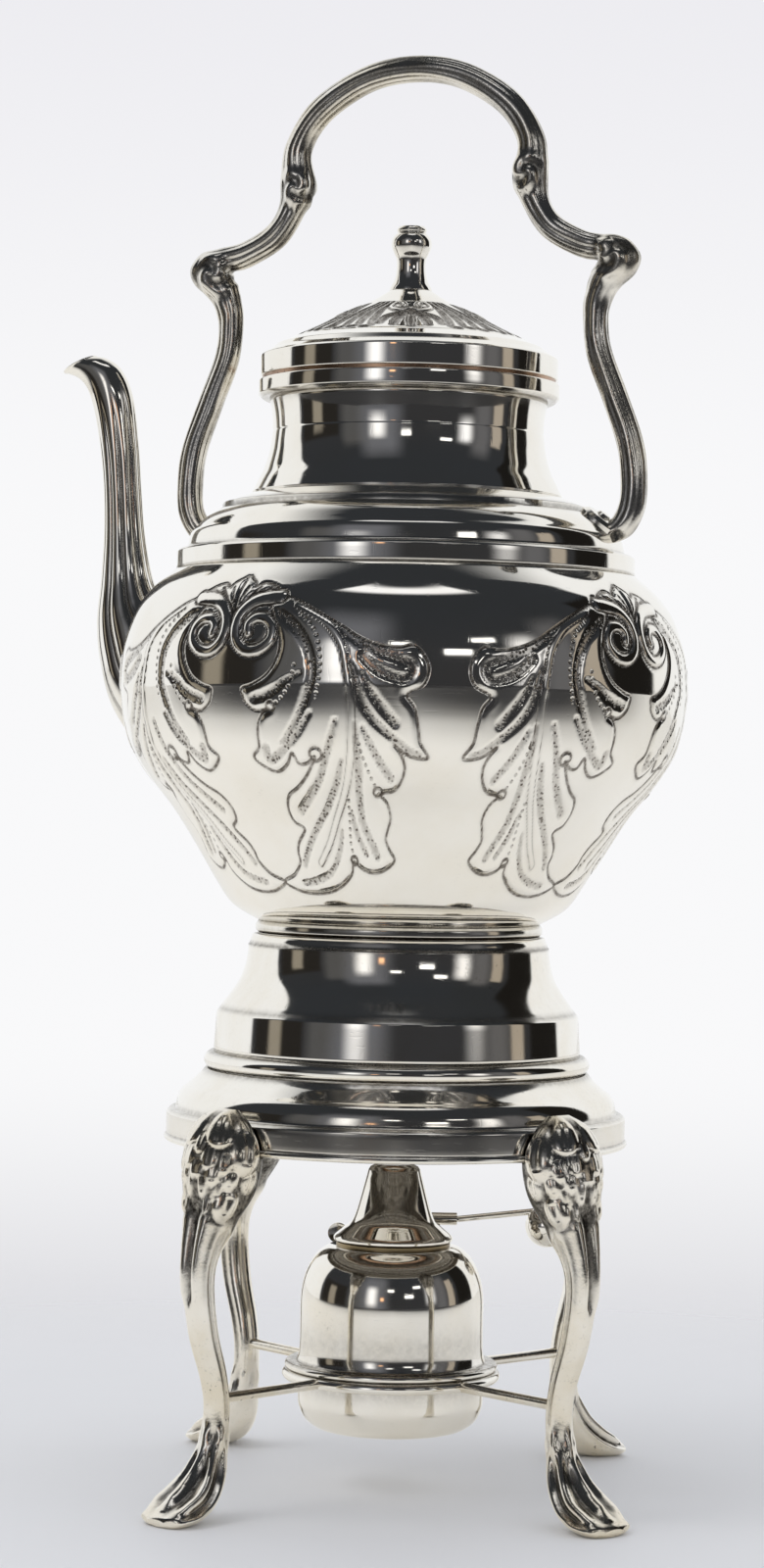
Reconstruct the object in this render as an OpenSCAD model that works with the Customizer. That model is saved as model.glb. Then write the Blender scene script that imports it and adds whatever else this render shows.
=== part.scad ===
// Spirit kettle on its stand: a lidded kettle that lifts out of a four-legged stand,
// with a spirit lamp and its hinged snuffer hung in a ring between the legs.
// Millimetres, +Z up, origin on the stand's axis at the floor, the front faces -Y.

/* [Stand] */
// Height of the flange's lower edge above the floor
flange_z = 96.3; // [85:0.5:115]
// Radius of the flange's outer band
flange_r = 64; // [60:0.5:72]
// Height of the flange's outer band
flange_band_h = 8.7; // [6:0.1:12]
// Height of the domed part of the flange
flange_dome_h = 11.3; // [8:0.1:16]
// Wall of the spun pieces of the stand
stand_wall = 1.2; // [0.8:0.1:1.8]
// Outer radius of the half-round wire round the collar's foot
wire_r = 53.8; // [51.8:0.1:56]
// Height of the half-round wire
wire_h = 4.7; // [3:0.1:6]
// Radius of the collar's straight band at its foot
collar_r = 51.2; // [47:0.1:53]
// Height of the collar's straight band
collar_band_h = 11.8; // [8:0.1:16]
// Height of the collar's hollow throat
collar_throat_h = 18.1; // [12:0.1:24]
// Radius of the collar's throat
throat_r = 42; // [40.5:0.1:44]
// Height of the lip on the throat
collar_lip_h = 2.9; // [2:0.1:5]
// Depth of the seat ring below the lip's top
seat_depth = 8; // [6:0.1:10]
// Inner radius of the seat ring
seat_bore_r = 34.5; // [32:0.1:36]
// Thickness of the seat ring
seat_t = 1.4; // [1:0.1:3]

/* [Legs] */
// Height of a leg's knee above the floor
leg_h = 108.5; // [104:0.5:114]
// Distance of the knee's middle outside the flange
knee_out = 2; // [0:0.1:4]
// How far the toe reaches outside the flange
toe_out = 24.5; // [18:0.5:34]
// How far a leg's bend stands out from its knee
leg_bend = 9; // [6:0.1:12]
// Width of a leg across its knee
knee_w = 22.8; // [18:0.2:26]

/* [Lamp ring] */
// Height of the ring's upper face above the floor
ring_z = 32.9; // [28:0.1:38]
// Outer radius of the ring
ring_r = 30.4; // [29:0.1:34]
// Thickness of the ring
ring_t = 3; // [2:0.1:4]
// Diameter of the four rods that carry the ring
rod_d = 2.9; // [2:0.1:4]

/* [Lamp] */
// Radius of the lamp's fuel cup
cup_r = 25.9; // [22:0.1:27]
// Depth of the fuel cup below its flange
cup_depth = 17; // [12:0.1:22]
// Radius of the lamp's rolled flange
lamp_flange_r = 29.7; // [28.4:0.1:31]
// Height of the rolled flange
lamp_flange_h = 2.2; // [1.5:0.1:3]
// Height of the lamp's dome above the flange
lamp_dome_h = 32.3; // [26:0.1:38]
// Wall of the lamp's spun pieces
lamp_wall = 0.8; // [0.6:0.1:1.2]
// Running clearance between the cup and the ring
cup_clearance = 0.5; // [0.3:0.1:1]
// Radius of the burner plate
burner_r = 15.9; // [14:0.1:16.2]
// Thickness of the burner plate
burner_t = 0.8; // [0.6:0.1:3]
// Outer radius of the wick tube
wick_tube_r = 5.5; // [4:0.1:6.5]
// Height of the wick tube above the burner plate
wick_tube_h = 6; // [4:0.1:8]
// Height of the wick above its tube
wick_h = 1.6; // [0.5:0.1:3]

/* [Snuffer] */
// Radius of the snuffer's rolled foot
snuffer_r = 16.7; // [15.8:0.1:18]
// Height of the snuffer
snuffer_h = 21.7; // [17:0.1:24]
// Radius of the snuffer under its rounded top
snuffer_top_r = 7.7; // [6:0.1:9]
// Distance of the hinge behind the lamp's axis
hinge_y = 18.2; // [17.6:0.1:20]
// Height of the hinge above the snuffer's foot
hinge_up = 4.5; // [3.5:0.1:6]
// Diameter of the hinge rod
hinge_rod_d = 1.8; // [1.4:0.1:2.4]
// Radial running clearance of the hinge rod
hinge_clearance = 0.05; // [0.02:0.01:0.1]
// Distance of the turning ball to the right of the lamp's axis
turn_rod_l = 43.8; // [38:0.1:48]
// Drop from the hinge's line to the middle of the ball
knob_drop = 1.4; // [0:0.1:4]
// Radius of the turning ball
knob_r = 6.2; // [4:0.1:7.5]

/* [Kettle] */
// Turn of the spout and handle on the stand, in degrees
kettle_turn = 20; // [0:1:45]
// Wall of the spun pieces of the kettle
kettle_wall = 1.2; // [0.8:0.1:1.8]
// Radial clearance of the foot ring in the collar's lip
foot_clearance = 0.4; // [0.3:0.05:0.8]
// Thickness of the foot ring
foot_t = 1.8; // [1.2:0.1:2.6]
// Height of the foot ring
foot_h = 11.8; // [10:0.1:15]
// Largest radius of the bowl
bowl_r = 79; // [74:0.5:82]
// Height of the bowl's widest line above its foot
bowl_belly_h = 64.2; // [56:0.5:72]
// Height of the bowl above its widest line
bowl_crown_h = 32.8; // [28:0.5:38]
// Radius of the band round the shoulder
shoulder_r = 64; // [60:0.5:66]
// Height of the band round the shoulder
shoulder_band_h = 5.7; // [4:0.1:8]
// Height of the shoulder's dome
shoulder_dome_h = 13; // [10:0.1:16]
// Radius of the step at the foot of the neck
neck_foot_r = 51.5; // [48:0.1:54]
// Radius of the neck at its narrowest
neck_r = 37.9; // [37:0.1:40]
// Height of the neck
neck_h = 29.8; // [24:0.5:36]
// Radius of the band round the mouth
mouth_r = 42.1; // [41:0.1:45]
// Height of the band round the mouth
mouth_h = 4.9; // [3:0.1:7]

/* [Spout] */
// Wall of the spout
spout_wall = 0.9; // [0.7:0.1:1.3]
// Depth of the flutes along the spout, as a share of its thickness
flute_depth = 0.06; // [0:0.01:0.1]
// Height of the spout's lip above the bowl's foot
spout_h = 160.2; // [152:0.1:167]
// How far the spout's lip stands out from the bowl's widest line
spout_reach = 26.6; // [24:0.1:30]
// Width of the spout where it meets the bowl
spout_root_w = 25; // [21:0.1:28]
// Diameter of the strainer holes behind the spout
strainer_d = 3.6; // [2:0.1:4]

/* [Handle] */
// Height of the handle's arch above the shoulder band's top
handle_h = 135.7; // [125:0.5:145]
// Half the handle's width at its lower bends
handle_w = 65.7; // [62:0.1:68]
// Width of the handle's bar at the top of its arch
handle_bar_w = 8.4; // [7:0.1:10]
// Radius of the rosette under each end of the handle
rosette_r = 6; // [4:0.1:8]

/* [Lid] */
// Radius of the lid's band
lid_r = 41.6; // [40:0.1:44]
// Height of the lid's band
lid_band_h = 6.2; // [4:0.1:8]
// Height of the lid's dome above its band
lid_dome_h = 18.5; // [14:0.5:22]
// Wall of the lid
lid_wall = 1; // [0.8:0.1:1.6]
// Thickness of the bezel's flange between the lid and the mouth
bezel_flange_t = 1.1; // [0.8:0.1:2]
// Depth of the bezel inside the mouth
bezel_depth = 8; // [5:0.5:12]
// Wall of the bezel
bezel_wall = 1; // [0.8:0.1:1.6]
// Clearance of the bezel in the mouth
bezel_clearance = 0.4; // [0.3:0.05:0.8]
// Height of the finial
finial_h = 18; // [14:0.5:22]
// Largest radius of the finial
finial_r = 6; // [4.5:0.1:7]
// Diameter of the finial's screw
finial_screw_d = 3; // [2:0.1:4]

/* [Hidden] */
// The legs of the drawn stand aren't quite a quarter turn apart
LEGS = [["front_left", 226.5], ["front_right", 311.5], ["rear_right", 42], ["rear_left", 128.5]];
$fn = 96;
// Overlap that joins two solids of one node
hair = 0.01;
far = 400;

silver = "silver";
cast_silver = "darkgray";
copper = "#8a5a3c";
brass = "#b08d4a";

// Levels, stacked from the floor
z_dome = flange_z + flange_band_h;
z_wire = z_dome + flange_dome_h;
z_collar = z_wire + wire_h;
z_throat = z_collar + collar_band_h;
z_lip = z_throat + collar_throat_h;
z_collar_top = z_lip + collar_lip_h;
z_seat = z_collar_top - seat_depth;
z_bowl = z_seat + foot_h;
z_belly = z_bowl + bowl_belly_h;
z_shoulder = z_belly + bowl_crown_h;
z_shoulder_dome = z_shoulder + shoulder_band_h;
z_neck = z_shoulder_dome + shoulder_dome_h;
z_mouth = z_neck + neck_h;
z_bezel = z_mouth + mouth_h;
z_lid = z_bezel + bezel_flange_t;
z_lid_dome = z_lid + lid_band_h;
z_finial = z_lid_dome + lid_dome_h;
z_lamp_dome = ring_z + lamp_flange_h;
z_burner = ring_z + lamp_flange_h + lamp_dome_h;
z_snuffer = z_burner + burner_t;
z_hinge = z_snuffer + hinge_up;
crown_r = shoulder_r + 0.5;
lip_in = 1.2;
foot_r = throat_r - lip_in - stand_wall - foot_clearance;
mouth_bore_r = neck_r - kettle_wall + 0.2;
bezel_r = neck_r - kettle_wall - bezel_clearance;
knee_r = flange_r + knee_out;

// A point at shares t of the way from corner a to corner b, along each axis
function between(a, b, t) = [a[0] + (b[0] - a[0]) * t[0], a[1] + (b[1] - a[1]) * t[1]];
function fitted(a, b, shape) = [for (t = shape) between(a, b, t)];

// A smooth curve through points, with n steps from each to the next
function blend(p0, p1, p2, p3, t) =
  (2 * p1 + (p2 - p0) * t + (2 * p0 - 5 * p1 + 4 * p2 - p3) * t * t
    + (3 * p1 - p0 - 3 * p2 + p3) * t * t * t) / 2;
function smooth(p, n) = [
  for (i = [0 : len(p) - 2], k = [0 : n - 1])
    blend(p[max(i - 1, 0)], p[i], p[i + 1], p[min(i + 2, len(p) - 1)], k / n),
  p[len(p) - 1]
];

// The same through rings of two edge points and a half width
function smooth_rings(r, n) =
  let (flat = smooth([for (g = r) [g[0][0], g[0][1], g[1][0], g[1][1], g[2]]], n))
  [for (q = flat) [[q[0], q[1]], [q[2], q[3]], q[4]]];

function unit(v) = v / norm(v);
function reversed(p) = [for (i = [len(p) - 1 : -1 : 0]) p[i]];
// The direction across an outline at point i, away from the axis on a rising outline
function across(p, i) =
  let (d = unit(p[min(i + 1, len(p) - 1)] - p[max(i - 1, 0)])) [d[1], -d[0]];
function inset(p, t) = [for (i = [0 : len(p) - 1]) p[i] - t * across(p, i)];
// The inner line of a wall: its ends stay level with the outline's own ends
function inner_line(p, t) =
  let (q = inset(p, t), last = len(p) - 1)
  [for (i = [0 : last])
    i == 0 ? [p[0][0] - t, p[0][1]] : i == last ? [p[last][0] - t, p[last][1]] : q[i]];

// A turned wall of thickness t under an outline that rises from its foot
module turned_wall(outline, t) {
  rotate_extrude() polygon(concat(outline, reversed(inner_line(outline, t))));
}

module turned(outline) {
  rotate_extrude() polygon(outline);
}

// A solid bar along stations [x, z, half thickness, half width] in the XZ plane
module bar_along(stations, sides) {
  n = len(stations);
  points = [
    for (i = [0 : n - 1])
      let (s = stations[i],
           a = stations[max(i - 1, 0)],
           b = stations[min(i + 1, n - 1)],
           d = unit([b[0] - a[0], b[1] - a[1]]))
      for (k = [0 : sides - 1])
        let (c = s[2] * cos(360 * k / sides), w = s[3] * sin(360 * k / sides))
        [s[0] + d[1] * c, w, s[1] - d[0] * c]
  ];
  walls = [
    for (i = [0 : n - 2], k = [0 : sides - 1])
      let (m = (k + 1) % sides)
      each [
        [i * sides + k, i * sides + m, (i + 1) * sides + m],
        [i * sides + k, (i + 1) * sides + m, (i + 1) * sides + k]
      ]
  ];
  caps = [
    [for (k = [sides - 1 : -1 : 0]) k],
    [for (k = [0 : sides - 1]) (n - 1) * sides + k]
  ];
  polyhedron(points, concat(walls, caps));
}

// Stand

// The flange's outside, from its rolled edge up to the wire
flange_step = 2.6;
flange_outline = concat(
  [[flange_r, flange_z], [flange_r, z_dome - 0.8], [flange_r - 0.8, z_dome]],
  smooth(fitted([flange_r - flange_step, z_dome + 0.6], [wire_r - 0.4, z_wire],
    [[0, 0], [0.06, 0.24], [0.23, 0.46], [0.47, 0.6], [0.79, 0.82], [1, 1]]), 3)
);

// The rolled lower edge, and the joint that the legs leave round it
flange_bead_r = 0.9;
flange_edge_r = flange_r + 0.6;
flange_gap = 0.05;

module stand_flange() color(silver) {
  turned_wall(flange_outline, stand_wall);
  translate([0, 0, flange_z + flange_bead_r])
    rotate_extrude() translate([flange_edge_r - flange_bead_r, 0]) circle(flange_bead_r, $fn = 24);
}

module collar_wire() color(silver) {
  depth = wire_r - collar_r + stand_wall;
  rotate_extrude() difference() {
    union() {
      translate([collar_r - stand_wall, z_wire]) square([depth - wire_h / 2, wire_h]);
      translate([wire_r - wire_h / 2, z_wire + wire_h / 2]) circle(d = wire_h, $fn = 32);
    }
    translate([collar_r - 6, z_wire - 1]) square([6 - stand_wall, wire_h + 2]);
  }
}

// The collar's outside, from the wire up to the lip
collar_outline = concat(
  [[collar_r, z_collar], [collar_r - 0.7, z_throat - 0.8]],
  smooth(fitted([collar_r - 2.2, z_throat + 1.2], [throat_r, z_lip],
    [[0, 0], [0.48, 0.28], [0.75, 0.48], [0.9, 0.68], [0.97, 0.86], [1, 1]]), 3),
  [[throat_r - 0.3, z_lip + 0.2], [throat_r - lip_in, z_collar_top]]
);

module stand_collar() color(silver) {
  turned_wall(collar_outline, stand_wall);
}

module collar_seat() color(copper) {
  outer_r = lookup(z_seat, [for (p = collar_outline) [p[1], p[0]]]) - stand_wall - 0.1;
  translate([0, 0, z_seat - seat_t]) difference() {
    cylinder(r = outer_r, h = seat_t);
    translate([0, 0, -1]) cylinder(r = seat_bore_r, h = seat_t + 2);
  }
}

// A leg's stations outwards along +X: [radius, height, half thickness, half width], from
// shares of its bend or its toe's reach, of its height and of its knee's width
function leg_station(out, up, a, b) =
  [knee_r + leg_bend * out, leg_h * up, knee_w * a, knee_w * b];
function toe_station(out, up, a, b) =
  [flange_r + toe_out * out, leg_h * up, knee_w * a, knee_w * b];
leg_stations = [
  toe_station(1, 0.012, 0.044, 0.132),
  toe_station(0.92, 0.0175, 0.114, 0.31),
  toe_station(0.73, 0.0304, 0.175, 0.358),
  toe_station(0.49, 0.0553, 0.219, 0.343),
  toe_station(0.28, 0.106, 0.215, 0.25),
  leg_station(0.278, 0.185, 0.16, 0.185),
  leg_station(0.167, 0.27, 0.15, 0.162),
  leg_station(0.333, 0.35, 0.156, 0.165),
  leg_station(0.778, 0.46, 0.172, 0.176),
  leg_station(1, 0.58, 0.189, 0.184),
  leg_station(0.889, 0.66, 0.219, 0.228),
  leg_station(0.5, 0.742, 0.325, 0.342),
  leg_station(0.167, 0.825, 0.447, 0.478),
  leg_station(0, 0.905, 0.439, 0.5),
  leg_station(-0.056, 0.968, 0.316, 0.368),
  leg_station(-0.111, 1, 0.088, 0.158)
];
leg_line = smooth(leg_stations, 2);

module leg(azimuth) color(cast_silver) {
  rotate([0, 0, azimuth]) difference() {
    bar_along(leg_line, 12);
    translate([0, 0, -leg_h]) linear_extrude(leg_h) square(far, center = true);
    translate([0, 0, flange_z - flange_gap]) cylinder(r = flange_edge_r + flange_gap, h = leg_h);
  }
}

module lamp_ring() color(silver) {
  bore = cup_r + cup_clearance;
  rotate_extrude() {
    translate([bore, ring_z - ring_t]) square([ring_r - ring_t / 2 - bore, ring_t]);
    translate([ring_r - ring_t / 2, ring_z - ring_t / 2]) circle(d = ring_t, $fn = 32);
  }
}

module ring_rods() color(cast_silver) {
  sink = 1;
  end_r = lookup(ring_z - ring_t / 2, [for (s = leg_line) if (s[1] > leg_h * 0.11) [s[1], s[0] - s[2]]]);
  for (l = LEGS)
    rotate([0, 0, l[1]]) translate([ring_r - sink, 0, ring_z - ring_t / 2])
      rotate([0, 90, 0]) cylinder(d = rod_d, h = end_r + sink - (ring_r - sink), $fn = 32);
}

// Lamp

module lamp_cup() color(silver) {
  turned_wall(concat(
    smooth(fitted([cup_r * 0.62, ring_z - cup_depth], [cup_r, ring_z - cup_depth * 0.45],
      [[0, 0], [0.45, 0.07], [0.8, 0.33], [0.97, 0.7], [1, 1]]), 3),
    [[cup_r, ring_z]]), lamp_wall);
  translate([0, 0, ring_z - cup_depth]) cylinder(r = cup_r * 0.62, h = lamp_wall);
}

// The dome's outside, from its flange up to the burner plate
dome_r = cup_r - 0.3;
dome_outline = concat(
  smooth(fitted([dome_r + 0.9, z_lamp_dome], [dome_r, z_lamp_dome + lamp_dome_h * 0.5],
    [[0, 0], [0.8, 0.13], [1, 0.35], [1, 1]]), 2),
  [for (a = [15 : 15 : 75])
    [burner_r + (dome_r - burner_r) * cos(a), z_lamp_dome + lamp_dome_h * (0.5 + 0.5 * sin(a))]],
  [[burner_r, z_burner]]
);

module lamp_dome() color(silver) {
  inner = [for (p = reversed(inset(dome_outline, lamp_wall))) if (p[1] > z_lamp_dome) p];
  plug_r = wick_tube_r + 2;
  rotate_extrude() {
    polygon(concat(
      [[dome_r - lamp_wall, z_lamp_dome - 0.2]], [[dome_r + 0.9, z_lamp_dome - 0.2]],
      dome_outline,
      [[plug_r, z_burner], [plug_r, z_burner - lamp_wall], [burner_r - 1, z_burner - lamp_wall]],
      [for (i = [1 : len(inner) - 1]) inner[i]]));
    translate([cup_r - lamp_wall, ring_z])
      square([lamp_flange_r - lamp_flange_h / 2 - cup_r + lamp_wall, lamp_flange_h]);
    translate([lamp_flange_r - lamp_flange_h / 2, ring_z + lamp_flange_h / 2])
      circle(d = lamp_flange_h, $fn = 32);
  }
}

module burner_plate() color(brass) {
  plug_r = wick_tube_r + 2;
  plug_h = 5;
  difference() {
    union() {
      translate([0, 0, z_burner]) cylinder(r = burner_r, h = burner_t);
      translate([0, 0, z_burner - plug_h]) cylinder(r = plug_r, h = plug_h + hair);
    }
    translate([0, 0, z_burner - plug_h - 1]) cylinder(r = wick_tube_r, h = plug_h + burner_t + 2);
  }
}

tube_wall = 0.7;
tube_foot = 10;

module wick_tube() color(brass) {
  translate([0, 0, z_burner - tube_foot]) difference() {
    cylinder(r = wick_tube_r, h = tube_foot + burner_t + wick_tube_h);
    translate([0, 0, -1]) cylinder(r = wick_tube_r - tube_wall, h = far);
  }
}

module wick() color("ivory") {
  hang = z_burner - ring_z + cup_depth - lamp_wall - 4;
  translate([0, 0, z_burner - hang])
    cylinder(r = wick_tube_r - tube_wall, h = hang + burner_t + wick_tube_h + wick_h);
}

// Half the length of the lug's barrel, the gap beside it and the lengths of the two bearings
barrel_r = hinge_rod_d / 2 + 0.9;
lug_half = 7;
lug_gap = 0.3;
bearing_in = lug_half + lug_gap;
left_bearing = 2.6;
right_bearing = 10.8;
bracket_t = 1.4;
bracket_drop = 12;
post_w = 6;
ear_r = 2.9;
ear_x = -15.6;

module hinge_bracket() color(silver) {
  difference() {
    union() {
      for (b = [[-bearing_in - left_bearing, left_bearing, left_bearing], [bearing_in, right_bearing, post_w]]) {
        translate([b[0], hinge_y, z_hinge]) rotate([0, 90, 0]) cylinder(r = barrel_r, h = b[1], $fn = 32);
        translate([b[0], hinge_y - bracket_t / 2, z_burner - bracket_drop])
          cube([b[2], bracket_t, z_hinge - z_burner + bracket_drop]);
      }
      translate([ear_x, hinge_y - bracket_t / 2, z_burner - bracket_drop])
        cube([bearing_in + post_w - ear_x, bracket_t, bracket_drop + 0.3]);
      translate([ear_x, hinge_y + bracket_t / 2, z_burner + 0.8]) rotate([90, 0, 0])
        cylinder(r = ear_r, h = bracket_t, $fn = 48);
    }
    translate([-far / 2, hinge_y, z_hinge]) rotate([0, 90, 0])
      cylinder(r = hinge_rod_d / 2 + hinge_clearance, h = far, $fn = 32);
    rotate_extrude() polygon(concat([[0, z_lamp_dome - 1], [dome_r + 0.9, z_lamp_dome - 1]],
      dome_outline, [[0, z_burner]]));
  }
}

// Snuffer

snuffer_outline = concat(
  [[snuffer_r - 1.1, z_snuffer], [snuffer_r - 0.1, z_snuffer + 0.6], [snuffer_r, z_snuffer + 1.3]],
  smooth(fitted([snuffer_r - 0.6, z_snuffer + 2.1], [snuffer_top_r, z_snuffer + snuffer_h - 3],
    [[0, 0], [0.286, 0.114], [0.5, 0.205], [0.643, 0.355], [0.786, 0.596], [1, 1]]), 3),
  [[snuffer_top_r - 0.35, z_snuffer + snuffer_h - 1.5], [snuffer_top_r - 1, z_snuffer + snuffer_h - 0.6],
    [snuffer_top_r - 2.4, z_snuffer + snuffer_h]]
);

module snuffer_cap() color(silver) {
  turned_wall(snuffer_outline, lamp_wall);
  translate([0, 0, z_snuffer + snuffer_h - lamp_wall]) cylinder(r = snuffer_top_r - 2.5, h = lamp_wall);
}

module snuffer_lug() color(silver) {
  strap_y = snuffer_r * 0.6;
  difference() {
    union() {
      translate([-lug_half, hinge_y, z_hinge]) rotate([0, 90, 0])
        cylinder(r = barrel_r, h = 2 * lug_half, $fn = 32);
      translate([-lug_half + 2, strap_y, z_hinge - barrel_r])
        cube([2 * lug_half - 4, hinge_y - strap_y, 1.4]);
    }
    translate([-far / 2, hinge_y, z_hinge]) rotate([0, 90, 0])
      cylinder(d = hinge_rod_d, h = far, $fn = 32);
    turned(concat([[0, z_snuffer]], snuffer_outline, [[0, z_snuffer + snuffer_h]]));
  }
}

// The rod runs straight through its bearings, then rises into the top of the ball
rod_bend = bearing_in + right_bearing + 0.6;
rod_run = [turn_rod_l - knob_r * 0.5 - rod_bend, knob_r * 0.65 - knob_drop];

module rising_rod() {
  translate([rod_bend, hinge_y, z_hinge]) rotate([0, atan2(rod_run[0], rod_run[1]), 0])
    cylinder(d = hinge_rod_d, h = norm(rod_run), $fn = 32);
}

module hinge_rod() color(cast_silver) {
  start = 0.2 - bearing_in - left_bearing;
  translate([start, hinge_y, z_hinge]) rotate([0, 90, 0])
    cylinder(d = hinge_rod_d, h = rod_bend - start, $fn = 32);
  translate([rod_bend, hinge_y, z_hinge]) sphere(d = hinge_rod_d, $fn = 32);
  rising_rod();
}

module turn_knob() color(cast_silver) {
  difference() {
    translate([turn_rod_l, hinge_y, z_hinge - knob_drop]) sphere(r = knob_r, $fn = 48);
    rising_rod();
  }
}

// Kettle

module turn_kettle() rotate([0, 0, -kettle_turn]) children();

module kettle_foot() color(silver) {
  turned_wall([[foot_r, z_seat], [foot_r, z_bowl - 3.4], [foot_r + 0.9, z_bowl - 2.6],
    [foot_r + 0.9, z_bowl - 1.2], [foot_r + 0.1, z_bowl]], foot_t);
}

// The bowl's outside, from its foot up to the shoulder
bowl_outline = concat(
  smooth(fitted([foot_r + 0.1, z_bowl], [bowl_r, z_belly],
    [[0, 0], [0.185, 0.069], [0.304, 0.171], [0.451, 0.324], [0.613, 0.478], [0.79, 0.617],
      [0.906, 0.734], [0.965, 0.85], [1, 1]]), 3),
  [for (p = smooth(fitted([bowl_r, z_belly], [crown_r, z_shoulder],
    [[0, 0], [0.05, 0.33], [0.27, 0.64], [0.58, 0.835], [1, 1]]), 3)) if (p[1] > z_belly) p]
);
bowl_radius_at = [for (p = bowl_outline) [p[1], p[0]]];

strainer_z = 56;
strainer_rows = [[0, 0], [5, -5], [-5, -5], [5, 5], [-5, 5], [0, 10], [0, -10]];

module kettle_bowl() color(silver) {
  difference() {
    union() {
      turned_wall(bowl_outline, kettle_wall);
      translate([0, 0, z_bowl]) cylinder(r = foot_r - 1, h = kettle_wall);
    }
    turn_kettle() for (h = strainer_rows)
      translate([-bowl_r - 1, h[0], z_bowl + strainer_z + h[1]]) rotate([0, 90, 0])
        cylinder(d = strainer_d, h = bowl_r / 3, $fn = 24);
  }
}

// The shoulder's outside, from the bowl up to the foot of the neck
shoulder_outline = concat(
  [[shoulder_r, z_shoulder], [shoulder_r, z_shoulder_dome - 0.6], [shoulder_r - 0.6, z_shoulder_dome]],
  smooth(fitted([shoulder_r - 2.9, z_shoulder_dome + 0.6], [neck_foot_r + 0.9, z_neck - 1.7],
    [[0, 0], [0.1, 0.35], [0.27, 0.52], [0.5, 0.72], [0.74, 0.87], [1, 1]]), 3),
  [[neck_foot_r, z_neck - 1.5], [neck_foot_r, z_neck]]
);

module kettle_shoulder() color(silver) {
  turned_wall(shoulder_outline, kettle_wall);
}

neck_outline = concat(
  [[neck_foot_r - 0.3, z_neck], [neck_foot_r - 1.2, z_neck + 0.3]],
  smooth(fitted([neck_r + 5.7, z_neck + neck_h * 0.1], [neck_r, z_neck + neck_h * 0.7],
    [[0, 0], [0.33, 0.22], [0.62, 0.42], [0.87, 0.7], [1, 1]]), 3),
  [[neck_r + 0.2, z_neck + neck_h * 0.84], [neck_r + 1, z_mouth]]
);

module kettle_neck() color(silver) {
  turned_wall(neck_outline, kettle_wall);
}

module mouth_rim() color(silver) {
  foot = neck_r + 1 - kettle_wall;
  turned([[foot, z_mouth], [mouth_r - 1.4, z_mouth], [mouth_r, z_mouth + 0.9],
    [mouth_r, z_bezel - 0.4], [mouth_r - 0.4, z_bezel], [mouth_bore_r, z_bezel],
    [mouth_bore_r, z_mouth + 1], [foot, z_mouth + 0.2]]);
}

// The spout's rings at its drawn size: [outer edge, inner edge, half width], measured from the
// belly's radius and the bowl's foot. The last rings run down to the bowl's wall.
spout_rings = [
  [[26.6, 155.6], [17.6, 160.2], 4.3],
  [[21.8, 153.6], [13.6, 159.4], 4.8],
  [[18.7, 149.6], [9.2, 156.2], 5.1],
  [[16.4, 142.4], [5.6, 148.4], 5.2],
  [[14.6, 132.4], [3.5, 134.6], 5.2],
  [[13.4, 121.4], [2.4, 121.8], 5.4],
  [[13, 108.6], [1.1, 108.8], 5.9],
  [[13.6, 95], [-1.4, 96.6], 7.4],
  [[14.4, 83], [-4.5, 91], 9.4],
  [[12.9, 71], [-7.5, 89.3], 11],
  [[8.5, 58], [-8.8, 88.7], 12],
  [[-2, 44], [-10, 88.4], 12.5]
];
spout_sides = 20;

spout_drawn = [26.6, 160.2, 25];

// A ring of the spout's surface, drawn in from its outside by t
function spout_ring(r, t) =
  let (f = [spout_reach / spout_drawn[0], spout_h / spout_drawn[1], spout_root_w / spout_drawn[2]],
       a = [r[0][0] * f[0], r[0][1] * f[1]],
       b = [r[1][0] * f[0], r[1][1] * f[1]],
       c = (a + b) / 2, d = (a - b) / 2, h = norm(d), e = d / h)
  [for (k = [0 : spout_sides - 1])
    let (flute = 1 - (k % 2) * flute_depth,
         p = c + e * (h * flute - t) * cos(360 * k / spout_sides),
         w = (r[2] * f[2] * flute - t) * sin(360 * k / spout_sides))
    [bowl_r + p[0], w, z_bowl + p[1]]];
// The same ring moved along X until it lies in the bowl's wall
function ring_on_bowl(ring, sink) =
  [for (p = ring)
    let (r = lookup(p[2], bowl_radius_at) - sink) [sqrt(max(r * r - p[1] * p[1], 1)), p[1], p[2]]];

module spout() color(silver) {
  sink = 0.4;
  rings = smooth_rings(spout_rings, 2);
  n = len(rings);
  outer = [for (i = [0 : n - 1])
    i == n - 1 ? ring_on_bowl(spout_ring(rings[i], 0), sink) : spout_ring(rings[i], 0)];
  inner = [for (i = [0 : n - 1])
    i == n - 1 ? ring_on_bowl(spout_ring(rings[i], spout_wall), sink) : spout_ring(rings[i], spout_wall)];
  s = spout_sides;
  tube = [
    for (i = [0 : n - 2], k = [0 : s - 1])
      let (m = (k + 1) % s, a = i * s, b = (i + 1) * s)
      each [[a + k, b + m, a + m], [a + k, b + k, b + m]]
  ];
  bore = [for (f = tube) [f[0] + n * s, f[2] + n * s, f[1] + n * s]];
  ends = [
    for (k = [0 : s - 1])
      let (m = (k + 1) % s, q = (n - 1) * s)
      each [
        [k, m, n * s + m], [k, n * s + m, n * s + k],
        [q + k, n * s + q + m, q + m], [q + k, n * s + q + k, n * s + q + m]
      ]
  ];
  turn_kettle() mirror([1, 0, 0])
    polyhedron([for (r = concat(outer, inner)) each r], concat(tube, bore, ends));
}

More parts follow.
